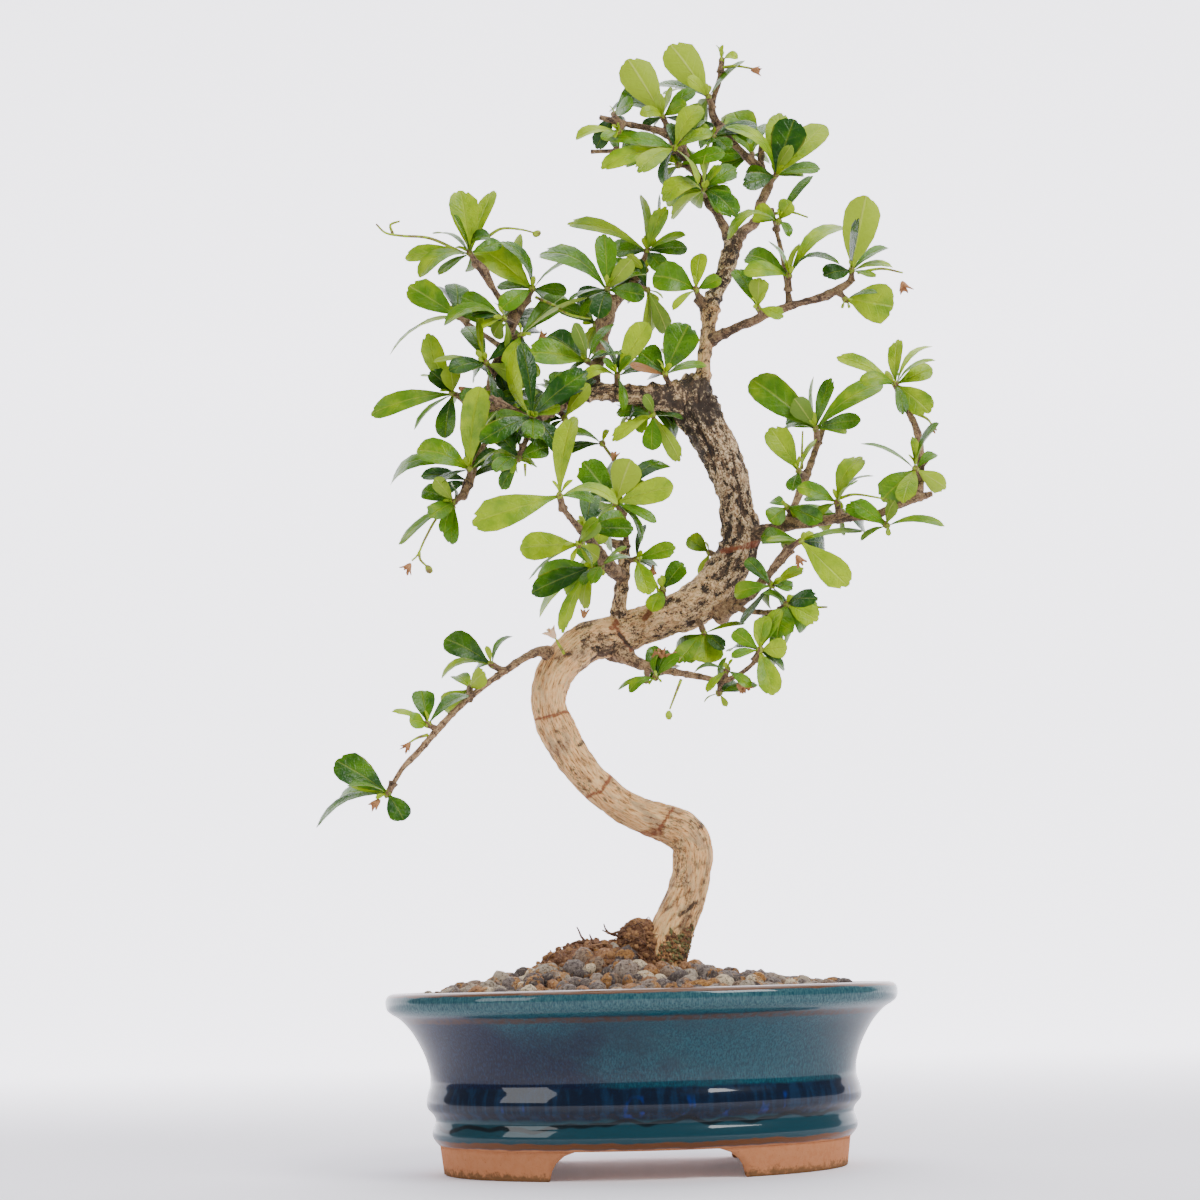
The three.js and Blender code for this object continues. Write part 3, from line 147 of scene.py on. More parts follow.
# Wood: a spur's radius, then the trunk's and each limb's points as seen, x, z, depth and radius
SPUR_RADIUS = 1.2
TRUNK = (
    (7, 62, 2, 9.5), (8.5, 72, 2, 9.6), (10, 82, 2, 9), (12.4, 91, 2, 8.4), (16.5, 99.5, 3, 8.3), (20, 108, 4, 8),
    (22, 117, 4, 7.8), (22, 125, 4, 8), (19.2, 131.3, 3, 8.2), (13, 135, 2, 7.9), (3, 138.5, 1, 7.2),
    (-6.5, 143.7, 0, 6.9), (-15, 150.7, -2, 6.9), (-21, 158, -3, 6.9), (-26.6, 166.5, -4, 7), (-31, 174.5, -5, 7.4),
    (-34, 182.5, -6, 7.1), (-34.4, 190, -6, 7.2), (-31.3, 198.3, -5, 7.7), (-25.8, 205, -4, 8.1), (-17.5, 211, -2, 8.3),
    (-7, 212.6, 0, 8.6), (3, 216, 1, 7.7), (14.5, 220, 2, 8.1), (25, 224, 3, 8.7), (34.3, 230.5, 4, 9),
    (41, 240, 4, 8.3), (46, 248, 3, 8.2), (46.6, 256, 2, 7.7), (45.2, 264, 1, 7), (44.3, 272, 0, 6.8),
    (42.3, 280, -1, 7.6), (39.3, 288, -1, 8.2), (35.6, 296, -1, 8.2), (31.5, 304.5, 0, 8.8), (29.5, 312, 0, 9.3),
    (31.5, 319, 0, 5.6),
)
LIMBS = {
    "leader": ((32, 314, 0, 4), (33.4, 324, 0, 3.2), (34.2, 331, 1, 2.8), (35.5, 338, 2, 3), (36.6, 345, 3, 3),
        (37.2, 351, 4, 4), (41, 360, 5, 3.1), (44.3, 368, 5, 3.6), (46.8, 376, 5, 3.5), (47.3, 383, 5, 3)),
    "leader_stub": ((37, 350, 4, 3), (32, 356, 2, 1.9)),
    "leader_left": ((47, 380, 5, 2.4), (43, 390, 4, 1.8), (38, 399, 2, 2), (33.5, 410.5, 0, 1.8),
        (27.5, 420.5, -2, 2.2), (24, 428, -3, 2.7), (21.3, 432.5, -3, 1.7)),
    "cut_stub_upper": ((24, 428, -3, 1.8), (15, 431.2, -5, 1.4), (5, 433.6, -7, 1.2), (-7, 437, -9, 1.1)),
    "cut_stub_lower": ((26, 422, -2, 1.8), (15, 420.8, 1, 1.3), (3, 421.8, 4, 1), (-11, 421.7, 7, 0.9)),
    "leader_right": ((47.5, 378, 5, 2.8), (52, 384, 7, 2.3), (58, 389, 10, 2.1), (60.3, 397, 11, 2.1), (64, 405, 12, 2),
        (61, 411, 12, 2), (52, 421, 10, 1.5), (46, 428.5, 8, 1.5), (42, 435, 6, 1.7), (41, 441.5, 5, 1.5),
        (44, 450, 4, 1.1), (45.6, 458, 3, 1)),
    "dark_stub": ((60.5, 411, 12, 1.6), (61.8, 424, 15, 1.3)),
    "upper_right": ((36, 337, 2, 2.6), (41, 339.2, 0, 2.3), (50, 343.3, -3, 1.8), (56, 345.5, -5, 2),
        (62, 348.5, -7, 1.7), (68, 350.3, -8, 1.8), (75, 352.5, -9, 1.5), (84, 354.6, -9, 1.9), (91, 357.5, -8, 1.9),
        (98, 362.3, -8, 1.2)),
    "tan_twig": ((70.8, 350.5, -8.5, 1.5), (70, 360, -6, 1.1), (68.3, 375, -2, 1), (66.4, 385, 1, 0.9),
        (65, 394, 4, 0.9)),
    "upper_left": ((29, 313, 0, 7.5), (20, 313, -2, 6.6), (10, 313.8, -4, 4.7), (0, 315, -6, 3.7), (-10, 316, -7, 3.6),
        (-20, 314.6, -6, 3), (-27, 311.6, -4, 2.3), (-40, 309.6, 0, 2), (-50, 309.5, 4, 1.8), (-60, 311, 8, 1.5),
        (-68, 314.5, 11, 1.2)),
    "tan_fork": ((-25, 311.5, -5, 1.9), (-31, 308, -9, 1.6), (-38, 304.6, -13, 1.6), (-46, 309, -15, 1.5),
        (-56, 315, -16, 1.3)),
    "low_fork": ((-38, 304.8, -13, 1.5), (-41, 297, -15, 1.3), (-43.5, 292, -17, 1.1)),
    "dropping_fork": ((-47, 309.5, 3, 1.4), (-55, 300, 2, 1.2), (-61, 291, 0, 1.2), (-66, 278, -3, 2.2),
        (-68.5, 272, -4, 1.6)),
    "thick_upright": ((-14, 315.5, -6, 3), (-12, 324, -2, 2.5), (-9, 333, 1, 2.4), (-8, 342, 3, 2.9),
        (-6.4, 350, 4, 3.6), (-4.6, 357, 5, 3.4)),
    "upright_twig": ((-4, 354, 5, 2.4), (3, 360.5, 7, 2), (6.4, 366, 8, 1.3), (10, 372.5, 9, 1.2)),
    "left_upright": ((-53, 310, 5, 1.7), (-56, 319, 6, 1.5), (-54, 328, 6, 1.8), (-49.5, 336, 6, 1.8),
        (-46, 346, 6, 1.9), (-43, 353, 6, 2.1), (-39, 357.6, 6, 1.7)),
    "left_tip": ((-45, 350, 6, 1.3), (-50, 356, 3, 1.4), (-54, 362.5, 0, 1.3), (-58, 370.5, -3, 2.2),
        (-62, 374, -5, 1.5)),
    "left_side": ((-50, 336, 6, 1.3), (-58, 342, 11, 1), (-66, 348, 16, 0.9)),
    "right_mid": ((49, 252, 1, 4.2), (58, 255.6, -2, 2.4), (66, 257.3, -4, 2.6), (80, 258.6, -8, 2),
        (88, 259.6, -10, 2), (96, 260, -12, 1.6), (102, 260.3, -13, 1.9), (109, 263.2, -14, 1.5),
        (118, 266.6, -15, 1.7), (126.5, 269, -16, 1.2)),
    "right_end": ((120, 267, -15, 2), (121.7, 274, -14, 1.8), (122.6, 284, -13, 1.6), (121.6, 296, -12, 1.5),
        (118, 305, -11, 1.3), (114.6, 312.5, -10, 1.4)),
    "right_end_stub": ((122.6, 281, -13, 1.2), (125.8, 284.5, -14, 1)),
    "right_inner": ((66, 257.5, -4, 2.2), (69.6, 266, -1, 1.5), (74, 276, 3, 1.7), (79, 289, 7, 1.3), (81, 294, 8, 1.4),
        (84, 301, 9, 1)),
    "right_lower": ((36, 221, 2, 4.2), (44.5, 225.6, -3, 2.8), (52, 231, -8, 2.2), (58, 237.2, -12, 1.7),
        (62, 242, -14, 1.9), (66.6, 247.4, -16, 2.3)),
    "right_thin": ((42, 224, -3, 1.6), (49, 221.6, -9, 1.1), (57, 221, -14, 1), (62, 221.7, -17, 0.9)),
    "under_branch": ((-6, 208, 0, 5), (0, 202.6, -6, 2.8), (8, 199.3, -10, 1.9), (16, 197.5, -13, 1.6),
        (27, 195.2, -16, 1.3), (36, 193.2, -18, 1.2), (42, 194.5, -19, 1.1), (47.5, 198, -20, 0.9),
        (51.2, 201.4, -21, 1)),
    "short_upright": ((-5, 215, 0, 4.5), (-4.4, 225, -3, 3.2), (-3.4, 233, -5, 2.6), (-2, 242, -7, 2.5),
        (-1.6, 251, -8, 2.4)),
    "short_side": ((-1.6, 249.5, -8, 2), (-9.5, 253, -10, 1.5)),
    "short_thin": ((-1.4, 249, -8, 1.3), (-0.6, 258, -10, 1), (-2, 264, -12, 1)),
    "front_twig": ((-3, 238, -6, 2.6), (-8, 241.5, -16, 3), (-12.5, 248.5, -26, 2.1), (-18, 255.5, -36, 1.6),
        (-23.5, 262.5, -44, 1.3), (-27.4, 267.6, -50, 1.3)),
    "left_low": ((-30, 203, -4, 4), (-36, 207, -9, 2.4), (-42, 205.6, -14, 1.6), (-50, 200.8, -19, 1.6),
        (-60, 194, -24, 1.3), (-70, 186, -28, 1.3), (-79, 177, -31, 1.4), (-88, 167, -33, 1.3), (-94, 161, -34, 1.1),
        (-98.6, 154, -35, 1)),
}

# Tufts: the spur's start and its bud as seen, how many fill leaves by rule, then the leaves by tip x, z, depth,
# width, turn, arch and youth, and for a tuft with a shoot the shoot's points with radius, and its own leaves
TUFTS = {
    "top_right": ((41, 440, 5), (39.6, 445, 2), 1, ((24, 469, -4, 15.5, 12, 0.08, 0.9), (31, 454, -8, 6, 30, 0.1, 0.95),
        (56, 461, 6, 9, 76, 0.05, 0.35), (17.5, 451, 9, 8, 62, 0.08, 0.25))),
    "top_left": ((22, 431, -3), (20, 436.6, -3), 2, ((5.5, 463, -5, 15.5, 10, 0.06, 0.9),
        (24.5, 449, 6, 7, 112, 0.05, 0.5), (30.5, 442, -6, 6.5, 30, 0.1, 0.6), (-3, 439.5, 7, 9, 58, 0.22, 0.25),
        (10, 438, -9, 6, 40, 0.2, 0.95))),
    "upper_elbow": ((26.6, 421.6, -2), (24.4, 422.4, -8), 1, ((-6.5, 428.5, 5, 9, 48, 0.06, 0.55),
        (-7, 414, -4, 9.5, 38, 0.12, 0.75), (3, 415.5, 8, 8, 40, 0.1, 0.6), (36, 441, -4, 11, 32, 0.12, 0.85),
        (41, 428, -2, 8, 50, 0.1, 0.7), (34, 406, -6, 7, 76, 0.1, 0.8), (8.5, 412, -8, 10, 38, 0.1, 0.85))),
    "mid_leader": ((37, 401.4, 1.5), (36.4, 403.4, -5), 1, ((18.5, 399, -6, 12, 50, 0.32, 0.85),
        (22, 391, 2, 10, 118, 0.08, 0.55), (26, 407, 6, 8, 30, 0.1, 0.15), (20, 399.5, -1, 9, 24, 0.08, 0.75),
        (50, 391, -5, 10, 22, 0.22, 0.25), (44.5, 394, -10, 8, 30, 0.1, 0.45), (40, 420, 6, 7, 112, 0.05, 0.5),
        (46, 406, 8, 5, 60, 0.1, 0.4))),
    "crown_right": ((64, 405, 12), (67, 408.8, 8), 2, ((76, 434, -4, 15, 8, 0.05, 0.05),
        (89, 431, 6, 12, 22, 0.05, 0.95), (70, 437, 8, 11, 14, 0.05, 0.85), (46.5, 431, -9, 8, 55, 0.26, 0.75),
        (53, 405, -7, 8.5, 20, 0.04, 0.12), (79, 409, 4, 6, 55, 0.05, 0.4))),
    "crown_inner": ((58, 414.5, 11), (57.4, 418.6, 15), 1, ((50, 438, 4, 15, 14, 0.08, 0.65),
        (42, 419, 3, 9, 28, 0.08, 0.2), (43, 410.5, 0, 8, 36, 0.06, 0.35))),
    "crown_elbow": ((44.5, 431, 7), (41, 427, 3), 0, ((37.5, 423.5, -7, 8, 50, 0.02, 0.35),
        (36, 410.5, 0, 8.5, 106, 0.08, 0.5), (48, 421, -9, 7, 30, 0.1, 0.3))),
    "tan_twig_side": ((66.4, 385, 1), (67.6, 388.6, -2), 0, ((73.5, 397, -4, 9, 30, 0.08, 0.85),
        (57, 393, 2, 10, 26, 0.1, 0.8), (45.5, 381, -8, 8.5, 66, 0.34, 0.75), (72, 381.5, -6, 4.5, 36, 0.2, 0.4),
        (83, 408.5, 3, 6, 50, 0.06, 0.3))),
    "upper_right_spur": ((70.3, 358, -8), (71, 364.4, -10), 1, ((96, 385, 5, 9.5, 48, 0.2, 0.8),
        (76, 378.5, -5, 8, 108, 0.04, 0.55), (52, 367, -3, 9, 38, 0.14, 0.75), (53, 373.5, 6, 9.5, 26, 0.2, 0.5),
        (92.5, 369, -4, 7, 72, 0.3, 0.12))),
    "upper_right_tip": ((97, 361.5, -8), (97.5, 366, -9), 1, ((105, 399, -2, 15.5, 6, 0.04, 0.88),
        (101.5, 389, -9, 8, 66, 0.05, 0.08), (115, 367, 3, 6, 60, 0.14, 0.85), (85.5, 364, -7, 9, 36, 0.08, 0.15),
        (107.5, 363, -6, 5, 60, 0.05, 0.6))),
    "upper_right_under": ((91, 357.5, -8), (94.5, 353.4, -11), 0, ((114.5, 350, -3, 17, 8, 0.08, 0.88),
        (108, 356, -10, 5, 70, 0.1, 0.35))),
    "upper_right_inner": ((59, 347, -6), (57.4, 350.8, -10), 1, ((58.5, 364, -3, 9, 16, 0.05, 0.6),
        (68, 346.5, 5, 7, 36, 0.05, 0.75))),
    "left_crown": ((-60.5, 373, -4), (-63.4, 378, -5), 1, ((-67, 406, -3, 12.5, 8, 0.06, 0.85),
        (-53, 405.5, 5, 8, 36, 0.04, 0.88), (-70, 395, -8, 8, 78, 0.05, 0.2), (-85, 368, -4, 11, 56, 0.22, 0.7),
        (-91, 377, 5, 8.5, 36, 0.08, 0.8), (-54.5, 385, -8, 8.5, 66, 0.3, 0.1), (-79, 387, 9, 6, 74, 0.15, 0.35))),
    "left_crown_right": ((-40, 356.5, 6), (-37.4, 361.6, 3), 1, ((-60.5, 381, -8, 13.5, 18, 0.1, 0.8),
        (-42, 386, -2, 7.5, 56, -0.2, 0.8), (-50, 383, 7, 8, 54, 0.2, 0.25), (-52.5, 363, 4, 6, 46, 0.08, 0.35),
        (-16, 374.5, -5, 6, 74, 0.12, 0.6), (-51, 353, -7, 9, 24, 0.1, 0.5))),
    "left_side_twig": ((-65, 347.4, 15), (-69, 350.4, 16), 1, ((-89.5, 364.5, -2, 12.5, 14, 0.06, 0.62),
        (-86, 347, -8, 7, 108, 0.05, 0.5), (-98, 334, 2, 6, 82, 0.14, 0.45), (-70, 365, 6, 11, 20, 0.1, 0.15))),
    "left_upright_side": ((-45.6, 347, 6), (-49.5, 349.4, 0), 1, ((-75, 347, -5, 9, 58, 0.26, 0.6),
        (-58.5, 345, -6, 5, 56, 0.1, 1), (-54, 341, 6, 8, 30, 0.1, 0.3))),
    "left_upright_low": ((-54.6, 326, 6), (-57.6, 330, 2), 1, ((-59, 355.5, -4, 6, 54, -0.1, 0.85),
        (-79.5, 331, -2, 6, 66, 0.08, 0.75), (-73, 327, -8, 9, 38, 0.1, 0.08), (-66, 346, 5, 9, 30, 0.1, 0.3))),
    "far_left": ((-66.5, 314, 10), (-71.6, 317, 8), 1, ((-106, 309, -2, 10, 30, 0.12, 0.65),
        (-82, 343.5, 5, 10, 22, -0.14, 0.8), (-81, 327, -4, 8, 20, 0.1, 0.08), (-73, 329.5, -9, 9.5, 26, 0.1, 0.6),
        (-88, 302, 2, 5, 66, 0.1, 0.5), (-75, 298, -3, 9, 20, 0.1, 0.25))),
    "left_low_crown": ((-65.5, 279, -2), (-65, 284.6, -6), 1, ((-60, 320, -6, 13, 26, 0.08, 0.78),
        (-87, 293, -2, 12, 28, 0.2, 0.62), (-98, 279, 3, 9, 48, 0.28, 0.5), (-53, 309.5, 4, 5, 76, 0.08, 0.6),
        (-37, 284.5, -4, 7, 60, 0.26, 0.72), (-52, 291, 6, 8, 28, 0.08, 0.25))),
    "left_low_under": ((-68, 273.4, -4), (-71.6, 270.6, -6), 1, ((-95, 253.5, 3, 7.5, 62, 0.06, 0.6),
        (-76, 257.5, -5, 6.5, 34, 0.08, 0.45), (-82, 264.5, -9, 9, 30, 0.06, 0.55), (-85, 276, 6, 8, 20, 0.1, 0.25))),
    "tan_fork_leaves": ((-38, 304.8, -13), (-38.6, 306.4, -18), 1, ((-42.5, 338, -1, 9, 34, 0.05, 0.12),
        (-45, 336, 7, 9, 46, -0.2, 1), (-15, 325, -2, 11.5, 28, 0.08, 0.12), (-60.5, 296, -6, 9.5, 20, 0.1, 0.12),
        (-38.5, 297, -9, 10, 10, 0.1, 0.3), (-27, 290.5, 4, 9, 30, 0.1, 0.2))),
    "low_fork_leaves": ((-42.6, 294, -16), (-44.6, 288.6, -17), 1, ((-54.5, 300, -4, 9, 30, 0.1, 0.12),
        (-56, 286, 4, 8, 28, 0.1, 0.3), (-32, 293, -3, 9, 22, 0.1, 0.3), (-52, 275.5, 2, 7.5, 36, 0.05, 0.2))),
    "upright_top": ((-4.8, 355, 5), (-5.8, 360.6, 0), 2, ((-6.5, 385, -2, 9.5, 10, 0.05, 0.5),
        (5, 373.5, -6, 8, 20, 0.06, 0.5), (-34, 377, 5, 13, 46, 0.22, 0.4), (-22, 356, -7, 4.5, 74, 0.1, 0.2),
        (-10, 348, -9, 9.5, 16, 0.1, 0.1), (10, 357.5, -5, 8.5, 12, 0.1, 0.25))),
    "upright_twig_tip": ((9.6, 372, 9), (11.4, 377, 8), 1, ((-22, 390, -4, 9, 48, 0.12, 0.8),
        (9.5, 402, 4, 6.5, 54, 0.06, 0.78), (17.4, 402, 9, 4.5, 78, -0.06, 0.15), (20, 396.5, -3, 8.5, 36, 0.06, 0.75),
        (28, 383.5, -8, 6, 54, 0.1, 0.75), (28.5, 378, 3, 7.5, 30, 0.06, 0.25), (-2, 377, -2, 8.5, 40, 0.06, 0.3),
        (18, 368.5, -5, 8, 14, 0.06, 0.35))),
    "leader_stub_leaves": ((33, 355, 2), (31.6, 359.4, -1), 1, ((13.5, 366, -4, 14, 22, 0.2, 0.5),
        (34, 375.5, 3, 7.5, 18, 0.04, 0.85), (21.5, 350.8, -6, 4.5, 44, 0.1, 0.92), (42.5, 364, -4, 7, 30, 0.05, 0.5))),
    "knob_leaves": ((20, 316, -3), (17.4, 323, -8), 1, ((28, 344.5, -3, 15, 8, 0.06, 0.35),
        (7, 333, 3, 13, 18, 0.08, 0.28), (35, 326.5, 7, 7, 56, 0.1, 0.6), (3, 327, -5, 7, 60, 0.02, 2))),
    "branch_top_leaves": ((-3, 316, -6), (-2.6, 322.8, -8), 0, ((11, 345.5, -3, 11.5, 26, 0.04, 0.92),
        (-8.5, 330, -7, 5, 50, 0.1, 0.3), (3.5, 331, -8, 4.5, 50, 0.1, 0.4), (-18, 321.5, -2, 7, 48, 0.3, 0.85),
        (-1, 308, -7, 5, 40, 0.1, 0.35))),
    "upright_low": ((-11, 327, -1), (-15, 329.6, -5), 1, ((-40, 334, -8, 13, 32, 0.08, 0.6),
        (0, 332.5, -9, 4.5, 72, 0.06, 0.2), (-31, 341.5, 5, 11, 28, 0.08, 0.1), (-4, 345.5, 7, 7, 56, 0.08, 0.4))),
    "left_inner": ((-48, 339.4, 6), (-42.8, 341.6, 2), 0, ((-13.5, 357.5, -3, 9.5, 100, 0.06, 0.6),
        (-24, 358.5, 6, 10, 18, 0.06, 0.45), (-47, 327, -8, 9, 30, 0.1, 0.7))),
    "front_tip": ((-26.6, 266.6, -49), (-28, 272.2, -52), 1, ((-64.5, 261.5, -4, 14, 12, 0.06, 0.82),
        (-21.5, 306, 4, 11.5, 36, 0.06, 0.88), (-4, 268, -3, 8, 56, 0.24, 0.85), (-24, 288, 8, 5, 74, 0.05, 0.35))),
    "front_side": ((-18, 255.5, -36), (-20.6, 251.4, -38), 0, ((-45, 250.5, -3, 12.5, 18, 0.08, 0.85),
        (-41.5, 237, 4, 5, 78, 0.08, 0.4), (-12, 262, -8, 6, 40, 0.1, 0.7))),
    "front_root": ((-10, 244, -20), (-14.6, 242, -23), 0, ((-40.5, 231.5, -3, 10, 20, 0.06, 0.15),
        (-38, 238, 7, 11, 30, 0.1, 0.5), (-37.5, 221.5, 3, 6.5, 54, 0.12, 0.82), (-28, 214.5, -6, 8.5, 48, 0.1, 0.75),
        (-19, 224.5, 8, 7.5, 40, 0.1, 0.7))),
    "centre_front": ((-2, 264, -12), (-4.8, 268.4, -16), 1, ((2, 287, -8, 13.5, 12, 0.06, 0.9),
        (18, 284, -2, 8, 36, 0.26, 0.15), (19.5, 275, -6, 11, 14, 0.06, 0.9), (-18, 286.5, 4, 12.5, 10, 0.06, 0.32),
        (-13, 251, -6, 9, 26, 0.08, 0.8), (12, 260, -4, 5, 30, 0.1, 0.4), (5, 251, 3, 6, 60, 0.2, 0.3)),
        ((-4.8, 268.4, -16, 0.8), (-1.6, 280, -9, 0.7), (-9.6, 294, -3, 0.7)), ((-27, 297.5, -3, 7, 56, 0.2, 0.35),
        (-28, 290, 4, 7, 46, 0.1, 0.12))),
    "short_right": ((-2, 244, -7), (3.2, 244.6, -9), 0, ((19.6, 249, -3, 7.5, 18, 0.04, 0.6),
        (12, 241.5, 4, 4.5, 66, 0.06, 0.6), (8, 229.5, -4, 8.5, 10, 0.06, 0.75))),
    "under_knob": ((10, 312, -4), (11.8, 305.6, -8), 0, ((11, 290.5, -2, 8.5, 10, 0.04, 0.45),
        (22.5, 285.5, 3, 7, 18, 0.06, 0.6), (-5.5, 295, -4, 7, 36, 0.1, 0.92), (-3.5, 307, 5, 7, 40, 0.1, 0.2))),
    "trunk_top_side": ((14.5, 221, 2), (13.6, 231.4, -2), 0, ((22.5, 242.5, -1, 8.5, 14, 0.04, 0.3),
        (4, 231, -4, 4.5, 66, 0.14, 0.3), (9, 222.5, -9, 8, 20, 0.1, 0.75))),
    "trunk_bend_side": ((42, 242, 4), (33.4, 246.6, 8), 0, ((24.5, 253, -2, 8, 18, 0.06, 0.65),
        (30, 236, 0, 6, 24, 0.06, 0.75))),
    "trunk_under": ((27, 222, 2), (30, 213, -2), 0, ((31, 200.5, -6, 14, 8, 0.04, 0.82),
        (47, 216.5, -2, 5, 66, 0.06, 0.6), (21.5, 202, 5, 9, 16, 0.08, 0.65))),
    "right_thin_tip": ((61.6, 221.7, -17), (64.4, 224, -18), 0, ((77, 217, -2, 9.5, 16, 0.08, 0.86),
        (60, 210, -5, 13, 18, 0.12, 0.55), (55, 229.5, 3, 6, 60, 0.1, 0.4), (71, 213, 5, 8, 30, 0.14, 0.4))),
    "right_lower_side": ((56.5, 235.6, -11), (58.6, 232, -15), 0, ((72, 239, 3, 6.5, 40, 0.05, 0.88),
        (48.5, 243.5, 6, 6.5, 22, 0.05, 0.22), (43, 229, 4, 8, 26, 0.1, 0.62), (67, 230, -6, 7, 50, 0.14, 0.35))),
    "right_lower_tip": ((66, 246.8, -16), (71, 250.4, -17), 1, ((90, 231, -3, 12.5, 8, 0.06, 0.92),
        (57, 251, 4, 5, 60, 0.05, 0.6), (98, 254, 6, 6.5, 66, 0.06, 0.65))),
    "under_tip": ((50.4, 200.8, -21), (52.6, 205.4, -22), 0, ((64, 206, -2, 8.5, 8, 0.05, 0.88),
        (55.5, 219.5, 4, 8.5, 28, 0.06, 0.78), (42, 213.5, 3, 7, 10, 0.06, 0.6), (62.5, 197, 5, 6, 54, 0.06, 0.12),
        (57, 186.5, -5, 10, 12, 0.1, 0.82), (41, 202.5, -4, 5, 40, 0.1, 0.6))),
    "under_root": ((10, 199, -11), (9.6, 195.2, -14), 0, ((-1.5, 189.5, -2, 6, 46, 0.2, 0.6),
        (-6, 190.5, 6, 4.5, 60, 0.12, 0.5), (20, 204, -5, 6, 40, 0.1, 0.45))),
    "left_low_fork": ((-52.5, 199.4, -20), (-57.6, 202.4, -22), 1, ((-76.5, 213.5, -3, 11.5, 18, 0.14, 0.2),
        (-78, 197, 2, 6, 58, 0.24, 0.82), (-48.5, 213.8, 3, 5, 60, 0.2, 0.4))),
    "left_low_mid": ((-67, 188.4, -27), (-66.4, 192.6, -23), 0, ((-77, 184, 4, 9.5, 20, 0.2, 0.78),
        (-60, 199, 5, 8.5, 30, 0.1, 0.82), (-72, 198, 6, 8, 40, 0.1, 0.7))),
    "left_low_elbow": ((-80, 176, -31), (-84, 178.4, -32), 1, ((-86.5, 192.5, 3, 9.5, 12, 0.08, 0.35),
        (-98.5, 184, -2, 4.5, 56, 0.14, 0.92), (-91.5, 180, -7, 7.5, 30, 0.1, 0.78))),
    "left_low_tip": ((-98.2, 155, -35), (-100.4, 150.6, -35), 1, ((-121.5, 164.5, -3, 13.5, 18, 0.08, 0.2),
        (-129.5, 137.5, 3, 7, 64, 0.18, 0.3), (-94, 139.5, -4, 9.5, 12, 0.06, 0.14),
        (-115.5, 157.5, 6, 8.5, 20, 0.06, 0.88), (-117, 154, -8, 4.5, 74, 0.1, 0.4))),
    "inner_low": ((68, 261, -3), (66.2, 265, -7), 0, ((58.5, 259, -3, 9, 14, 0.04, 0.6),
        (86, 261.5, 12, 6, 54, 0.05, 0.5), (60, 268, 4, 6, 40, 0.1, 0.35))),
    "inner_mid": ((74.4, 277, 3), (71.6, 280, -1), 0, ((60.5, 299, -2, 11.5, 14, 0.06, 0.78),
        (69, 271.5, -4, 7, 26, 0.1, 0.3), (79.5, 293.5, 5, 4.5, 56, 0.05, 0.92))),
    "inner_top": ((80.2, 291.5, 8), (79.4, 298, 4), 1, ((53.5, 320, 3, 14.5, 14, 0.08, 0.5),
        (71, 311, -5, 9.5, 16, 0.06, 0.06), (87, 319.5, -2, 7, 28, 0.05, 0.3), (67.5, 303, 7, 8, 20, 0.1, 0.2),
        (66, 298, -3, 4.5, 74, 0.14, 0.2), (108, 316.5, -3, 11.5, 40, 0.12, 0.66), (98.5, 301, -9, 7.5, 20, 0.1, 0.34),
        (92.5, 297, 5, 6, 30, 0.1, 0.75), (79.5, 320.5, 8, 4.5, 70, 0.05, 0.6))),
    "right_spur": ((87.6, 260.6, -10), (87, 266.4, -11), 1, ((71, 273.5, -2, 7.5, 28, 0.1, 0.62),
        (98, 285.5, -3, 11, 34, 0.2, 0.78), (103, 277, 5, 4.5, 76, 0.18, 0.3), (96, 275, -8, 6, 98, 0.08, 0.45),
        (78, 261, 6, 6, 50, 0.08, 0.7))),
    "right_low_spur": ((102.5, 260.2, -13), (107, 256, -16), 1, ((131, 255, -3, 6, 56, 0.14, 0.62),
        (94, 266, -6, 7.5, 22, 0.06, 0.42), (96, 250, 3, 5, 60, 0.1, 0.6), (111, 266.5, -9, 7, 40, 0.1, 0.3))),
    "right_end_mid": ((121.9, 275.6, -14), (120.2, 279.6, -18), 1, ((98, 291, 3, 5, 72, 0.1, 0.5),
        (119.5, 293.5, -3, 5, 46, 0.06, 0.75), (105.5, 266.5, -3, 12, 18, 0.08, 0.6),
        (114.5, 265.5, 3, 9, 24, 0.08, 0.86), (132.5, 271, 5, 8.5, 12, 0.06, 0.82), (129, 286, 2, 5.5, 36, 0.1, 0.4))),
    "right_end_tip": ((115.4, 311, -10), (113.6, 316, -10.5), 1, ((89.5, 328.5, -2, 7.5, 38, 0.1, 0.8),
        (115.5, 335.5, 3, 7, 28, 0.05, 0.8), (130, 332, 5, 5.5, 58, 0.18, 0.95), (131, 326, -2, 5, 70, 0.16, 0.7),
        (129.5, 322.5, -6, 8, 20, 0.05, 0.85), (98.5, 317, -6, 7.5, 40, 0.2, 0.62),
        (127.5, 303.5, 2, 11, 18, 0.08, 0.8), (116, 303, -8, 6, 30, 0.1, 0.35))),
}

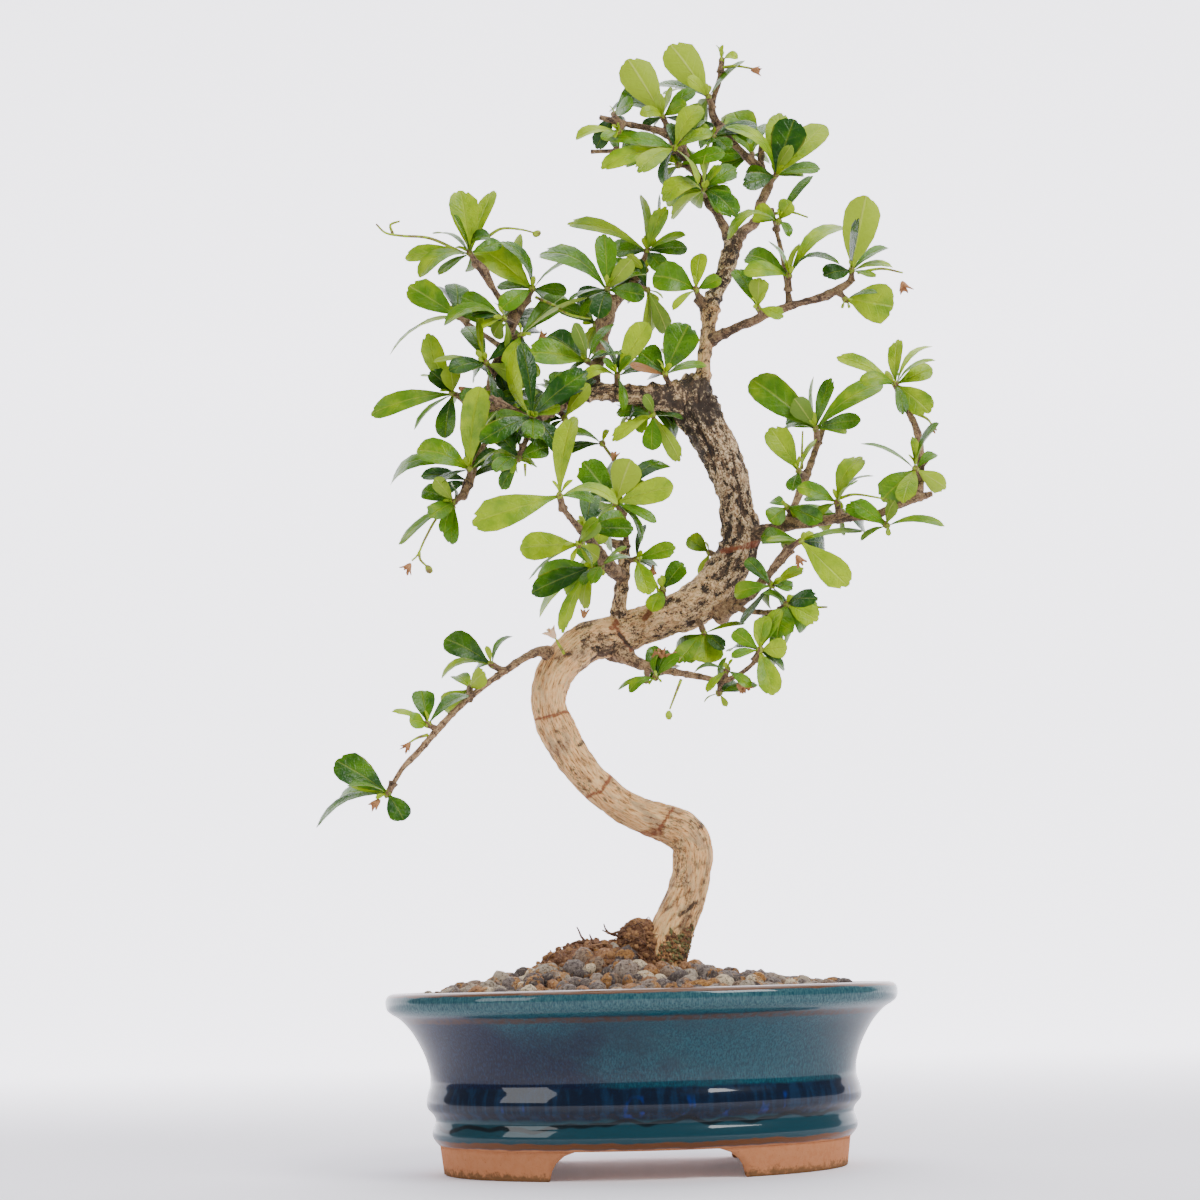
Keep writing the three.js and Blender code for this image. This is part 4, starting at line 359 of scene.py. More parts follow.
# Small tufts of fine leaves on the thin ends, and what is left of the flowers: stalks as seen, x, z and depth
SMALL_TUFTS = {
    "top_stick": ((45.2, 456, 3), (46, 461.2, 3), 0, ((53, 462, -3, 5, 50, 0.3, 0.95), (44, 468, 5, 4, 60, 0.1, 0.8))),
    "cut_stub": ((3, 434, -7), (1, 430.6, -9), 0, ((-17.5, 427.5, -2, 8, 60, 0.14, 0.9),
        (-6, 427, -8, 5, 50, 0.1, 0.6))),
    "under_side": ((37, 193.4, -18), (39, 197.4, -20), 0, ((25.5, 197, 4, 5, 66, 0.2, 0.3),
        (30.5, 188.5, -3, 5, 50, 0.1, 0.8), (48, 190, -5, 6, 40, 0.1, 0.5))),
}
GREEN_STALKS = (
    ((-66, 378, -5), (-80, 385, -7), (-92, 386.5, -9), (-99, 388, -10), (-103, 392, -11)),
    ((-96, 387.5, -9), (-97, 391.5, -9), (-93, 393, -9)),
    ((45.6, 458, 3), (52, 458.6, 0), (60, 457, -2)),
    ((66, 392, 4), (73, 392.5, 0), (80, 390, -2)),
    ((100, 365, -9), (110, 366.5, -12), (119, 364.5, -14)),
    ((-56, 385, -5), (-50, 388.5, -8), (-42, 388, -10), (-35, 386, -12)),
    ((-36, 358, 5), (-29, 354.5, 2), (-22, 350, -1), (-13, 348, -3)),
    ((20, 194, -15), (17.5, 188, -16), (15, 182, -17)),
    ((120, 304, -11), (126, 301, -14), (128, 298, -15)),
    ((88, 268, -11), (95, 269.5, -15), (108, 267, -18)),
    ((73, 281, 3), (73.4, 289, 0), (74, 297, -2)),
    ((74, 222.5, -17), (81, 222.5, -20)),
    ((12, 230, -2), (11, 234, -4), (9, 237, -6)),
    ((-84, 174, -32), (-88, 173, -34), (-91.5, 171, -35)),
    ((-42, 286, -17), (-42, 281, -18)),
    ((-71.5, 268.5, -6), (-76, 266.5, -9), (-79.5, 263.5, -11), (-84, 255.5, -13), (-87, 249, -14),
        (-89.5, 246.5, -15)),
    ((-86.5, 250, -14), (-86, 246.6, -14.5), (-83, 243.6, -15)),
    ((-27.5, 206, -10), (-29.5, 209.5, -11), (-31, 212.5, -12)),
)
# Cups as seen, x, z and depth, with a direction and a kind: 0 a bud, 1 withered, 2 the open flower
CUPS = (
    (39, 408, 1, 0.2, 1), (119, 359, -14, -1.4, 1), (-68, 319, 9, -0.6, 1), (9, 238.5, -6, 0.5, 1),
    (46, 191, -20, -1.2, 1), (14.5, 179.5, -17, -1.6, 0), (-92, 170, -35, -2.2, 1), (70, 243, -18, -1.2, 1),
    (-35, 386, -12, 0.4, 0), (-34, 340, 4, 0.8, 1), (-19, 222, -8, 1.4, 1), (-105, 147, -36, -2.4, 1),
    (-5, 288, -10, 1.2, 1), (15, 201, -14, 0.2, 1), (60, 456.5, -2, -0.2, 1), (128, 297.5, -15, -1.6, 1),
    (-32, 214, -12, 2.2, 2), (9.5, 203.5, -11, 0.7, 1), (12.5, 204, -12.5, 1.9, 1), (15.5, 203.6, -13, -0.3, 1),
    (18.5, 203, -13.5, 2.6, 1), (44, 190.5, -21, -0.8, 1), (-91, 244, -15, -2.1, 1), (-82.6, 242.6, -15.5, -0.9, 0),
)

# How rough the bark is at heights as seen, and the radius past which a limb has more sides
LIMB_ROUGHNESS = ((150, 240, 420), (0.35, 0.5, 0.55))
ROUGHNESS = {
    "trunk": ((196, 212, 226, 245, 290, 303), (0.05, 0.32, 0.5, 0.68, 0.76, 1)),
    "leader": ((314, 322, 350, 358, 386), (0.9, 0.36, 0.4, 0.95, 0.7)),
    "cut_stub_upper": ((0,), (0.6,)),
    "cut_stub_lower": ((0,), (0.6,)),
}
STOUT = 3.4

# Marks on the bark as seen: a line from x, z to x, z, its half width and, where the mark is weaker, how strong it is
RUST_MARKS = (
    (-41, 179, -26.5, 182, 0.3), (-20, 147, -14, 149, 0.4), (-14, 149, -9.5, 155.5, 0.3), (9, 133, 15, 141.5, 0.3),
    (0, 131, 10, 132, 1.2, 0.7), (39, 247, 54, 250, 0.9, 0.9), (6, 220, 8, 222, 1), (-8, 216, -6, 218, 1),
    (-5.5, 215, 0, 207, 0.7),
)
# Dark marks: partly dark bark and knots, partly painted shade, as the line along the trunk's shaded left edge
DARK_AND_SHADE_MARKS = (
    (-12, 206, -8, 207, 1.6), (26, 134, 27, 137, 1), (-22, 168, -18, 173, 0.5), (16.2, 98.3, 22.6, 103.2, 0.5),
    (18, 80, 19.5, 92, 1.6), (-5, 214, 0, 208, 0.5), (21, 306, 29.5, 294, 1.4), (29.5, 294, 35, 277, 0.9),
    (35, 277, 38, 255, 0.5), (32, 318, 37, 306, 3.2), (20, 310, 34, 308, 1.8), (2, 316, 20, 313, 0.8),
    (43, 262, 40, 250, 0.6), (16.5, 127, 17.8, 112, 2.6, 0.6), (-14, 209, 0, 206, 3, 0.62),
    (-20, 204, -22, 193, 1.6, 0.55), (-25, 158, -20, 150, 2, 0.58), (-21.6, 216.9, -16.7, 218, 1, 0.8),
    (0, 210, 28, 221, 2.6, 0.5), (23, 135, 27, 137, 2, 0.7), (27, 310, 37, 314, 4, 0.75), (28, 300, 36, 300, 3, 0.55),
    (4, 313, 16, 313, 3, 0.6), (15, 314, 25, 312, 4, 0.85), (26, 314, 30, 304, 4, 0.85), (54, 256, 57, 250, 3, 0.75),
    (27, 300, 31, 290, 2.5, 0.7), (22, 138, 10, 133, 3, 0.45),
)

# The trunk's foot as seen, which moss and crumbs cover, and the bare roots that stand out of the peat
CRUMBS_AT = ((11, 91), (14.5, 96.5), (17.5, 94), (21, 97), (21.5, 90), (17.5, 79), (4.5, 80.5), (7.5, 85))
ROOT_STUBS = (
    ((-29.4, 87.5, 0), (-24.8, 89.2, 0), (-20.5, 88.4, 0)),
    ((-25, 94.8, 0), (-23.3, 91.1, 0), (-20.5, 87.5, 0)),
    ((-20, 92, -2), (-18.5, 88, -2)),
    ((-14.2, 96, -2), (-12.7, 92.6, -2), (-7.5, 90.5, -2)),
    ((-15, 93.5, -3), (-11, 92, -3), (-6, 93, -2)),
    ((-36, 86, 0), (-33, 82, 0), (-29, 80, 0)),
)

# Dense parts of the crown as seen, each an outline in x and z with the number of tufts by rule in it
DENSE_ZONES = (
    (((-86, 375), (-70, 392), (-36, 388), (-24, 378), (-4, 386), (14, 368), (0, 350), (-6, 335), (18, 345), (28, 330),
        (20, 321), (-20, 318), (-32, 300), (-20, 298), (-22, 290), (-50, 284), (-58, 270), (-80, 268), (-88, 282),
        (-78, 300), (-88, 318), (-80, 345)), 20),
    (((4, 455), (20, 455), (40, 448), (48, 440), (80, 432), (84, 415), (70, 404), (62, 395), (50, 385), (40, 390),
        (18, 398), (8, 412), (-8, 420), (-14, 432)), 7),
    (((-30, 262), (-20, 285), (0, 293), (16, 288), (20, 270), (12, 258), (18, 252), (10, 238), (-10, 236), (-24, 217),
        (-33, 222), (-38, 245)), 3),
    (((0, 192), (28, 188), (62, 191), (68, 200), (64, 212), (82, 222), (74, 234), (58, 238), (46, 222), (24, 212),
        (6, 212)), 3),
    (((58, 248), (60, 268), (76, 268), (98, 262), (98, 252), (84, 248)), 1),
    (((-2, 298), (-2, 318), (20, 318), (26, 309), (27, 292), (14, 294)), 2),
)


def nearness(y):
    """The eye's scale at distance y behind the plane y = 0: 1 + y / 900."""
    return 1 - y / EYE[1]


def behind(x, z, y):
    """The points at distance y behind the plane that the eye sees at x and z on it: E + (M - E)(1 + y / 900)."""
    x, z, y = np.broadcast_arrays(x, z, y)
    on_plane = np.stack((x, np.zeros_like(y, float), z), -1)
    return EYE + (on_plane - EYE) * nearness(np.asarray(y, float))[..., None]


def seen(points):
    """Points named by x, z and depth as seen, in the tree's own millimetres."""
    points = np.asarray(points, float)
    return behind(points[..., 0], points[..., 1], DEPTH_PART * points[..., 2])


def as_seen(points):
    """Where the eye sees points on the plane y = 0, as x and z."""
    scale = nearness(points[:, 1])
    return EYE[0] + (points[:, 0] - EYE[0]) / scale, EYE[2] + (points[:, 2] - EYE[2]) / scale


def unit(vector):
    """The direction of a vector: v / |v|."""
    return vector / np.linalg.norm(vector)


def turns(sides):
    """Angles round a ring: 2 pi k / n."""
    return np.arange(sides) * 2 * math.pi / sides


def turned_to(along, helper):
    """Two directions across a unit direction, and itself, as the rows of a turn."""
    across = unit(np.cross(along, helper))
    return np.vstack((across, np.cross(along, across), along))


def noise(points, size, seed=0):
    """Smooth noise from -1 to 1: values drawn at the corners of cells, mixed by 3f^2 - 2f^3 along each axis."""
    scaled = np.asarray(points, float) / size + 31.7 * seed
    cell = np.floor(scaled).astype(np.int64)
    share = scaled - cell
    share = share * share * (3 - 2 * share)
    total = np.zeros(len(scaled))
    for corner in np.ndindex(2, 2, 2):
        at = (cell + corner) * HASH_STEPS
        drawn = at[:, 0] ^ at[:, 1] ^ at[:, 2]
        drawn = (drawn * HASH_MIX % 2**32) >> 8
        weight = np.prod(np.where(corner, share, 1 - share), axis=1)
        total += weight * (drawn / HALF_RANGE - 1)
    return total


def layered(points, size, seed=0, layers=3):
    """Noise with finer and weaker noise laid over it: the sum of n(p / s 2^-k) / 2^k."""
    return sum(noise(points, size / 2**k, seed + k) / 2**k for k in range(layers))


def smooth_path(points, step):
    """A Catmull-Rom curve through points, all columns blended alike, with a point at each step of length."""
    points = np.asarray(points, float)
    padded = np.vstack((2 * points[0] - points[1], points, 2 * points[-1] - points[-2]))
    parts = []
    for p0, p1, p2, p3 in zip(padded, padded[1:], padded[2:], padded[3:]):
        count = max(2, math.ceil(np.linalg.norm((p2 - p1)[:3]) / step))
        t = np.linspace(0, 1, count, endpoint=False)[:, None]
        bend, twist = 2 * p0 - 5 * p1 + 4 * p2 - p3, 3 * p1 - p0 - 3 * p2 + p3
        parts.append(0.5 * (2 * p1 + (p2 - p0) * t + bend * t**2 + twist * t**3))
    return np.vstack((*parts, points[-1:]))


def limb_path(points, step):
    """The smooth path of points as seen with their radii."""
    points = np.asarray(points, float)
    return smooth_path(np.column_stack((seen(points[:, :3]), points[:, 3])), step)


def frames_along(centres):
    """Unit directions along a path, across it and to its side, carried on without twist."""
    along = np.gradient(centres, axis=0)
    along /= np.linalg.norm(along, axis=1)[:, None]
    across = np.empty_like(along)
    last = np.array((0.0, 1.0, 0.0))
    for i, direction in enumerate(along):
        last = unit(last - direction * (last @ direction))
        across[i] = last
    return along, across, np.cross(along, across)


def ring_faces(rings, sides, closed_ends=True):
    """Quads between rings of points, and fans to a pole point before the first and after the last ring."""
    i, j = np.meshgrid(np.arange(rings - 1), np.arange(sides), indexing="ij")
    a, b = i * sides + j, i * sides + (j + 1) % sides
    faces = np.stack((a, b, b + sides, a + sides), -1).reshape(-1, 4).tolist()
    if closed_ends:
        pole, last = rings * sides, (rings - 1) * sides
        for k in range(sides):
            faces.append((pole, (k + 1) % sides, k))
            faces.append((pole + 1, last + k, last + (k + 1) % sides))
    return faces


def placed(name, data):
    """An object with the data, in the scene."""
    made = bpy.data.objects.new(name, data)
    bpy.context.scene.collection.objects.link(made)
    return made


class Shell:
    """Points, faces and values at the points of a piece that is put together from closed parts."""

    def __init__(self):
        self.points, self.faces, self.values, self.kinds, self.count = [], [], [], [], 0

    def add(self, points, faces, kinds=0, **values):
        """Adds a closed part, with one value or one for each point, and the material kind of its faces."""
        points = np.asarray(points, float)
        self.faces += [tuple(corner + self.count for corner in face) for face in faces]
        self.points.append(points)
        self.kinds.append(np.broadcast_to(kinds, len(faces)))
        self.values.append(values)
        self.count += len(points)

    def add_tube(self, path, sides, relief=0.0, **values):
        """A tube round a path of x, y, z and radius: ring points c + (r + relief) (u cos a + v sin a)."""
        centres, radii = path[:, :3], path[:, 3]
        along, across, side = frames_along(centres)
        angle = turns(sides)
        reach = np.repeat(radii[:, None], sides, 1) + relief
        turned = across[:, None] * np.cos(angle)[:, None] + side[:, None] * np.sin(angle)[:, None]
        points = (centres[:, None] + turned * reach[..., None]).reshape(-1, 3)
        poles = (centres[0] - along[0] * 0.35 * radii[0], centres[-1] + along[-1] * 0.35 * radii[-1])
        for name, value in values.items():
            if np.ndim(value):
                value = np.concatenate((value.reshape(-1, *value.shape[2:]), value[0, :1], value[-1, :1]))
            values[name] = value
        self.add(np.vstack((points, *poles)), ring_faces(len(centres), sides), **values)

    def add_ball(self, centre, half, rough=0, seed=0, rings=5, sides=8, turn=None, **values):
        """A lump: an ellipsoid of rings and sides whose reach varies by noise of its own direction."""
        polar, angle = np.linspace(0, math.pi, rings + 2)[1:-1], turns(sides)
        ring = np.stack((np.outer(np.sin(polar), np.cos(angle)), np.outer(np.sin(polar), np.sin(angle))), -1)
        height = np.repeat(-np.cos(polar)[:, None, None], sides, 1)
        ball = np.vstack((np.concatenate((ring, height), -1).reshape(-1, 3), (0, 0, -1), (0, 0, 1)))
        ball = ball * (1 + rough * noise(ball, 0.7, seed))[:, None] * half
        self.add((ball if turn is None else ball @ turn) + centre, ring_faces(rings, sides), **values)

    def gathered(self):
        """Each value at every point of the piece, and 0 where a part doesn't hold it."""
        widths = {name: np.shape(value)[1:] for values in self.values for name, value in values.items()}
        return {
            name: np.concatenate([
                np.broadcast_to(values.get(name, 0.0), (len(points), *width)).astype(np.float32)
                for values, points in zip(self.values, self.points)
            ])
            for name, width in widths.items()
        }

    def mesh(self, name):
        """The points and faces as a mesh in the row frame, in metres."""
        mesh = bpy.data.meshes.new(name)
        mesh.from_pydata(((np.vstack(self.points) + MIDDLE) / MM).tolist(), [], self.faces)
        return mesh

    def piece(self, name, materials, *nodes, slot):
        """The mesh object, which stands for the named solids and rides on the root body."""
        mesh = self.mesh(name)
        for material in materials:
            mesh.materials.append(material)
        mesh.polygons.foreach_set("material_index", np.concatenate(self.kinds).astype(np.int32))
        mesh.shade_smooth()
        held = self.gathered()
        mesh.update(calc_edges=True)
        if "rim" in held:
            ends = np.empty(2 * len(mesh.edges), np.int32)
            mesh.edges.foreach_get("vertices", ends)
            mesh.edges.foreach_set("use_edge_sharp", held.pop("rim")[ends.reshape(-1, 2)].all(axis=1))
        for key, values in held.items():
            kind, field = ("FLOAT", "value") if values.ndim == 1 else ("FLOAT_VECTOR", "vector")
            mesh.attributes.new(key, kind, "POINT").data.foreach_set(field, values.ravel())
        if mesh.validate():
            raise RuntimeError(f"the mesh of {name} has faces that don't hold")
        made = placed(name, mesh)
        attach(made, "root")
        if nodes:
            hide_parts(*nodes)
        return made


class Value:
    """A socket of a material's nodes that can be added to, multiplied and so on, each time by a Math node."""

    def __init__(self, nodes, socket):
        self.nodes, self.socket = nodes, socket

    def math(self, operation, *others):
        """A Math node on this value and others."""
        return self.nodes.make("Math", self, *others, operation=operation)

    def ramp(self, low, high, start=0.0, end=1.0):
        """From start to end as the value goes from low to high, and no further."""
        return self.nodes.make("MapRange", self, low, high, start, end, interpolation_type="SMOOTHSTEP")

    def band(self, low, high, soft):
        """1 between low and high, falling to 0 over the soft width outside them."""
        return self.ramp(low - soft, low) * self.ramp(high, high + soft, 1.0, 0.0)

    def __add__(self, other):
        return self.math("ADD", other)

    def __sub__(self, other):
        return self.math("SUBTRACT", other)

    def __mul__(self, other):
        return self.math("MULTIPLY", other)

    def __truediv__(self, other):
        return self.math("DIVIDE", other)

    def __rsub__(self, other):
        return self.nodes.make("Math", other, self, operation="SUBTRACT")

    def __rtruediv__(self, other):
        return self.nodes.make("Math", other, self, operation="DIVIDE")

    __radd__ = __add__
    __rmul__ = __mul__


class Nodes:
    """The nodes of one material, round its Principled shader."""

    def __init__(self, name, **constants):
        self.material = bpy.data.materials.new(name)
        self.material.use_nodes = True
        self.tree = self.material.node_tree
        self.shader = self.tree.nodes["Principled BSDF"]
        for socket, constant in constants.items():
            self.set(socket.replace("_", " ").title().replace("Ior", "IOR"), constant)

    def put(self, socket, value):
        """Links a value to a socket, or sets a constant on it."""
        if isinstance(value, Value):
            self.tree.links.new(value.socket, socket)
        elif np.ndim(value):
            socket.default_value = (*value, 1) if len(socket.default_value) == 4 else value
        else:
            socket.default_value = value

    def set(self, name, value):
        """Puts a value or a constant into the shader's named socket."""
        self.put(self.shader.inputs[name], value)

    def make(self, kind, *values, output=0, named=(), **settings):
        """A node of the kind, with its settings, its first inputs and named ones filled in."""
        node = self.tree.nodes.new("ShaderNode" + kind)
        for setting, value in settings.items():
            setattr(node, setting, value)
        for socket, value in zip(node.inputs, values):
            self.put(socket, value)
        for name, value in dict(named).items():
            self.put(node.inputs[name], value)
        return Value(self, node.outputs[output])

    def place(self, *stretch):
        """The point in the row frame, in millimetres, each axis multiplied by its stretch."""
        point = self.make("TexCoord", output=3)
        scale = np.array(stretch or (1, 1, 1)) * MM
        return self.make("VectorMath", point, tuple(scale), operation="MULTIPLY")

    def parts(self, place):
        """The x, y and z of a point."""
        return [Value(self, output) for output in self.make("SeparateXYZ", place).socket.node.outputs]

    def attribute(self, name):
        """A value that the mesh holds at its points."""
        return self.make("Attribute", output=2, attribute_name=name)

    def noise(self, cells, place=None, detail=3.0, roughness=0.55):
        """Noise from 0 to 1 with so many cells to a millimetre."""
        named = {"Vector": place or self.place(), "Scale": cells, "Detail": detail, "Roughness": roughness}
        return self.make("TexNoise", named=named)

    def cells(self, count, place):
        """The distance to the nearest of scattered points, so many to a millimetre."""
        return self.make("TexVoronoi", named={"Vector": place, "Scale": count})

    def mix(self, share, first, second):
        """A colour that goes from the first to the second, where a tuple gives a colour of 0 to 255."""
        first, second = (srgb(*side) if isinstance(side, tuple) else side for side in (first, second))
        return self.make("Mix", output=2, named={0: share, 6: first, 7: second}, data_type="RGBA")

    def lit(self, color, brightness):
        """A colour with its brightness multiplied."""
        return self.make("HueSaturation", named={"Color": color, "Value": brightness})

    def bump(self, height, distance, strength=1.0):
        """Relief of so many millimetres, on the shader's normal."""
        named = {"Height": height, "Distance": distance / MM, "Strength": strength}
        self.set("Normal", self.make("Bump", named=named))

    def finish(self, color, roughness=None):
        """Sets the shader's colour and, where it varies, its roughness."""
        self.set("Base Color", color)
        if roughness is not None:
            self.set("Roughness", roughness)
        return self.material


def leaf_veins(nodes, strength):
    """Relief of a leaf: a furrow at the midrib and side veins that lean forward from it."""
    across, run = nodes.attribute("across"), nodes.attribute("run")
    side = across.math("ABSOLUTE")
    midrib = side.ramp(0.0, 0.1, 1.0, 0.0)
    wave = (run * 34.0 - side * 8.0).math("SINE")
    veins = wave.ramp(0.72, 1.0) * side.ramp(0.85, 0.4)
    return side, run, midrib, veins * strength


def leaf_top(settings):
    """The upper side: young leaves yellow-green, old ones dark and glossy, dry ones brown."""
    nodes = Nodes("leaf_upper", specular_ior_level=0.3)
    youth, tone = nodes.attribute("youth"), nodes.attribute("tone")
    side, run, midrib, veins = leaf_veins(nodes, 0.5)
    patch = nodes.noise(0.12, detail=2.0)
    speck = nodes.noise(1.3, detail=2.0)
    age = youth * 0.94 + (patch - 0.5) * 0.9 + (run - 0.6) * 0.1
    green = nodes.mix(age.ramp(0.0, 0.5), settings.old_leaf, settings.grown_leaf)
    green = nodes.mix(age.ramp(0.45, 1.0), green, settings.young_leaf)
    shade = nodes.lit(green, tone * 0.1 + (speck - 0.5) * 0.35 + 1.0)
    pale = nodes.mix(youth.ramp(0.0, 0.8, 0.25, 0.6), shade, (176, 192, 40))
    lined = nodes.mix(midrib * 0.6 + veins * 0.2, shade, pale)
    edge = side.ramp(0.86, 1.0) * patch.ramp(0.45, 0.62) * 0.5
    rimmed = nodes.mix(edge, lined, (150, 140, 50))
    dry = nodes.mix(speck, (120, 72, 38), (168, 118, 66))
    color = nodes.mix(youth.ramp(1.3, 1.7), rimmed, dry)
    nodes.bump(speck * 0.6 - midrib * 0.9 - veins * 0.5 + nodes.noise(0.45, detail=1.0) * 0.8, 0.55, 0.6)
    return nodes.finish(color, youth.ramp(0.0, 1.0, 0.24, 0.4) + (speck - 0.5) * 0.14)


def leaf_under(settings):
    """The under side: paler and matt, with a raised midrib."""
    nodes = Nodes("leaf_under", specular_ior_level=0.3)
    youth, tone = nodes.attribute("youth"), nodes.attribute("tone")
    _, _, midrib, veins = leaf_veins(nodes, 0.4)
    speck = nodes.noise(0.9, detail=2.0)
    green = nodes.mix((youth + speck * 0.3).ramp(0.15, 1.1), (78, 116, 24), settings.young_leaf)
    paler = nodes.mix(0.25, green, (146, 166, 52))
    shade = nodes.lit(paler, tone * 0.08 + (speck - 0.5) * 0.25 + 0.96)
    lined = nodes.mix(midrib * 0.6 + veins * 0.15, shade, (180, 190, 84))
    color = nodes.mix(youth.ramp(1.3, 1.7), lined, (158, 112, 66))
    nodes.bump(midrib * 0.9 + veins * 0.4 + speck * 0.4, 0.5, 0.5)
    return nodes.finish(color, speck.ramp(0.2, 0.8, 0.46, 0.62))


def bud_green(settings):
    """Buds and soft shoots, green with brown scales."""
    nodes = Nodes("bud", roughness=0.6)
    speck = nodes.noise(0.9, detail=3.0)
    green = nodes.mix(nodes.attribute("youth"), (92, 96, 44), settings.young_leaf)
    nodes.bump(speck, 0.5, 0.7)
    return nodes.finish(nodes.mix(speck.ramp(0.42, 0.6), green, (104, 70, 40)))


def stalk_green(settings):
    """The thin stalks of the flowers."""
    nodes = Nodes("flower_stalk", roughness=0.55)
    speck = nodes.noise(0.5, detail=2.0)
    return nodes.finish(nodes.mix(speck.ramp(0.4, 0.65), settings.young_leaf, (112, 94, 44)))


def bark(settings):
    """Bark: tan with fine streaks, grey patches and knots below, and ever more dark flakes towards the top."""
    nodes = Nodes("tree_bark")
    grain = nodes.make("Attribute", output=1, attribute_name="grain")
    rough, crack, thin = (nodes.attribute(name) for name in ("rough", "crack", "thin"))
    long, short = (nodes.make("VectorMath", grain, (1.0, 1.0, share), operation="MULTIPLY") for share in (0.2, 0.6))
    fine = nodes.noise(1.3, long, 5.0, 0.7)
    wide = nodes.noise(0.14, short, 3.0)
    speck = nodes.noise(1.1, short, 5.0, 0.75)
    grit = nodes.noise(1.5, grain, 4.0, 0.75)
    pale = nodes.mix(fine.ramp(0.36, 0.64), settings.trunk, (255, 216, 152))
    pale = nodes.mix(wide.ramp(0.5, 0.64) * 0.5, pale, (158, 134, 110))
    pale = nodes.mix(fine.ramp(0.47, 0.34) * 0.85, pale, (116, 76, 46))
    knots = (nodes.cells(0.17, grain) + (speck - 0.5) * 0.6).ramp(0.08, 0.24, 1.0, 0.0)
    pale = nodes.mix(knots * wide.ramp(0.36, 0.46) * 0.85, pale, (88, 64, 46))
    # Darker where the bark sinks, in fissures, under flakes and at twig nodes: partly the inner bark's colour, partly
    # painted shade
    pale = nodes.mix(crack * 0.55, pale, (104, 68, 42))
    pale = nodes.mix(grit.ramp(0.6, 0.72) * wide.ramp(0.4, 0.6) * 0.6, pale, (84, 60, 44))
    grey = nodes.mix(speck.ramp(0.35, 0.6), (255, 226, 178), (158, 120, 82))
    base = nodes.mix(rough.ramp(0.1, 0.8), pale, grey)
    flakes = nodes.mix(fine.ramp(0.42, 0.66), settings.flakes, (104, 78, 54))
    share = (speck * 0.35 + grit * 0.75 + crack * 0.22 + rough * 0.13 + (wide - 0.5) * 0.3).ramp(0.65, 0.74)
    flaky = nodes.mix(share * rough.ramp(0.0, 0.35, 0.45, 1.0), base, flakes)
    twig = nodes.mix(speck.ramp(0.34, 0.64), (204, 168, 124), (134, 100, 70))
    twig = nodes.mix(rough.ramp(0.42, 0.56) * 0.5, twig, (100, 76, 56))
    twig = nodes.mix((grit + crack * 0.3).ramp(0.54, 0.7) * 0.85, twig, (60, 42, 30))
    color = nodes.mix(thin * rough.ramp(0.95, 0.7) * 0.9, flaky, twig)
    rust = (nodes.attribute("rust") + (speck - 0.5) * 1.6).ramp(0.25, 0.95)
    color = nodes.mix(rust * 0.9, color, nodes.mix(grit.ramp(0.4, 0.62), settings.rust, (156, 88, 50)))
    # The dark marks: partly dark bark, partly painted shade along the trunk's left edge
    dark = (nodes.attribute("dark") * 0.8 + (speck - 0.5) * 2.0).ramp(0.35, 0.75)
    color = nodes.mix(dark * 0.9, color, nodes.mix(grit, (28, 22, 17), (76, 60, 46)))
    nodes.bump(fine * 0.8 + speck * (rough + 0.5) - crack * 0.4 + grit * 0.3, 1.1, 1.0)
    return nodes.finish(color, speck.ramp(0.2, 0.8, 0.72, 0.9))


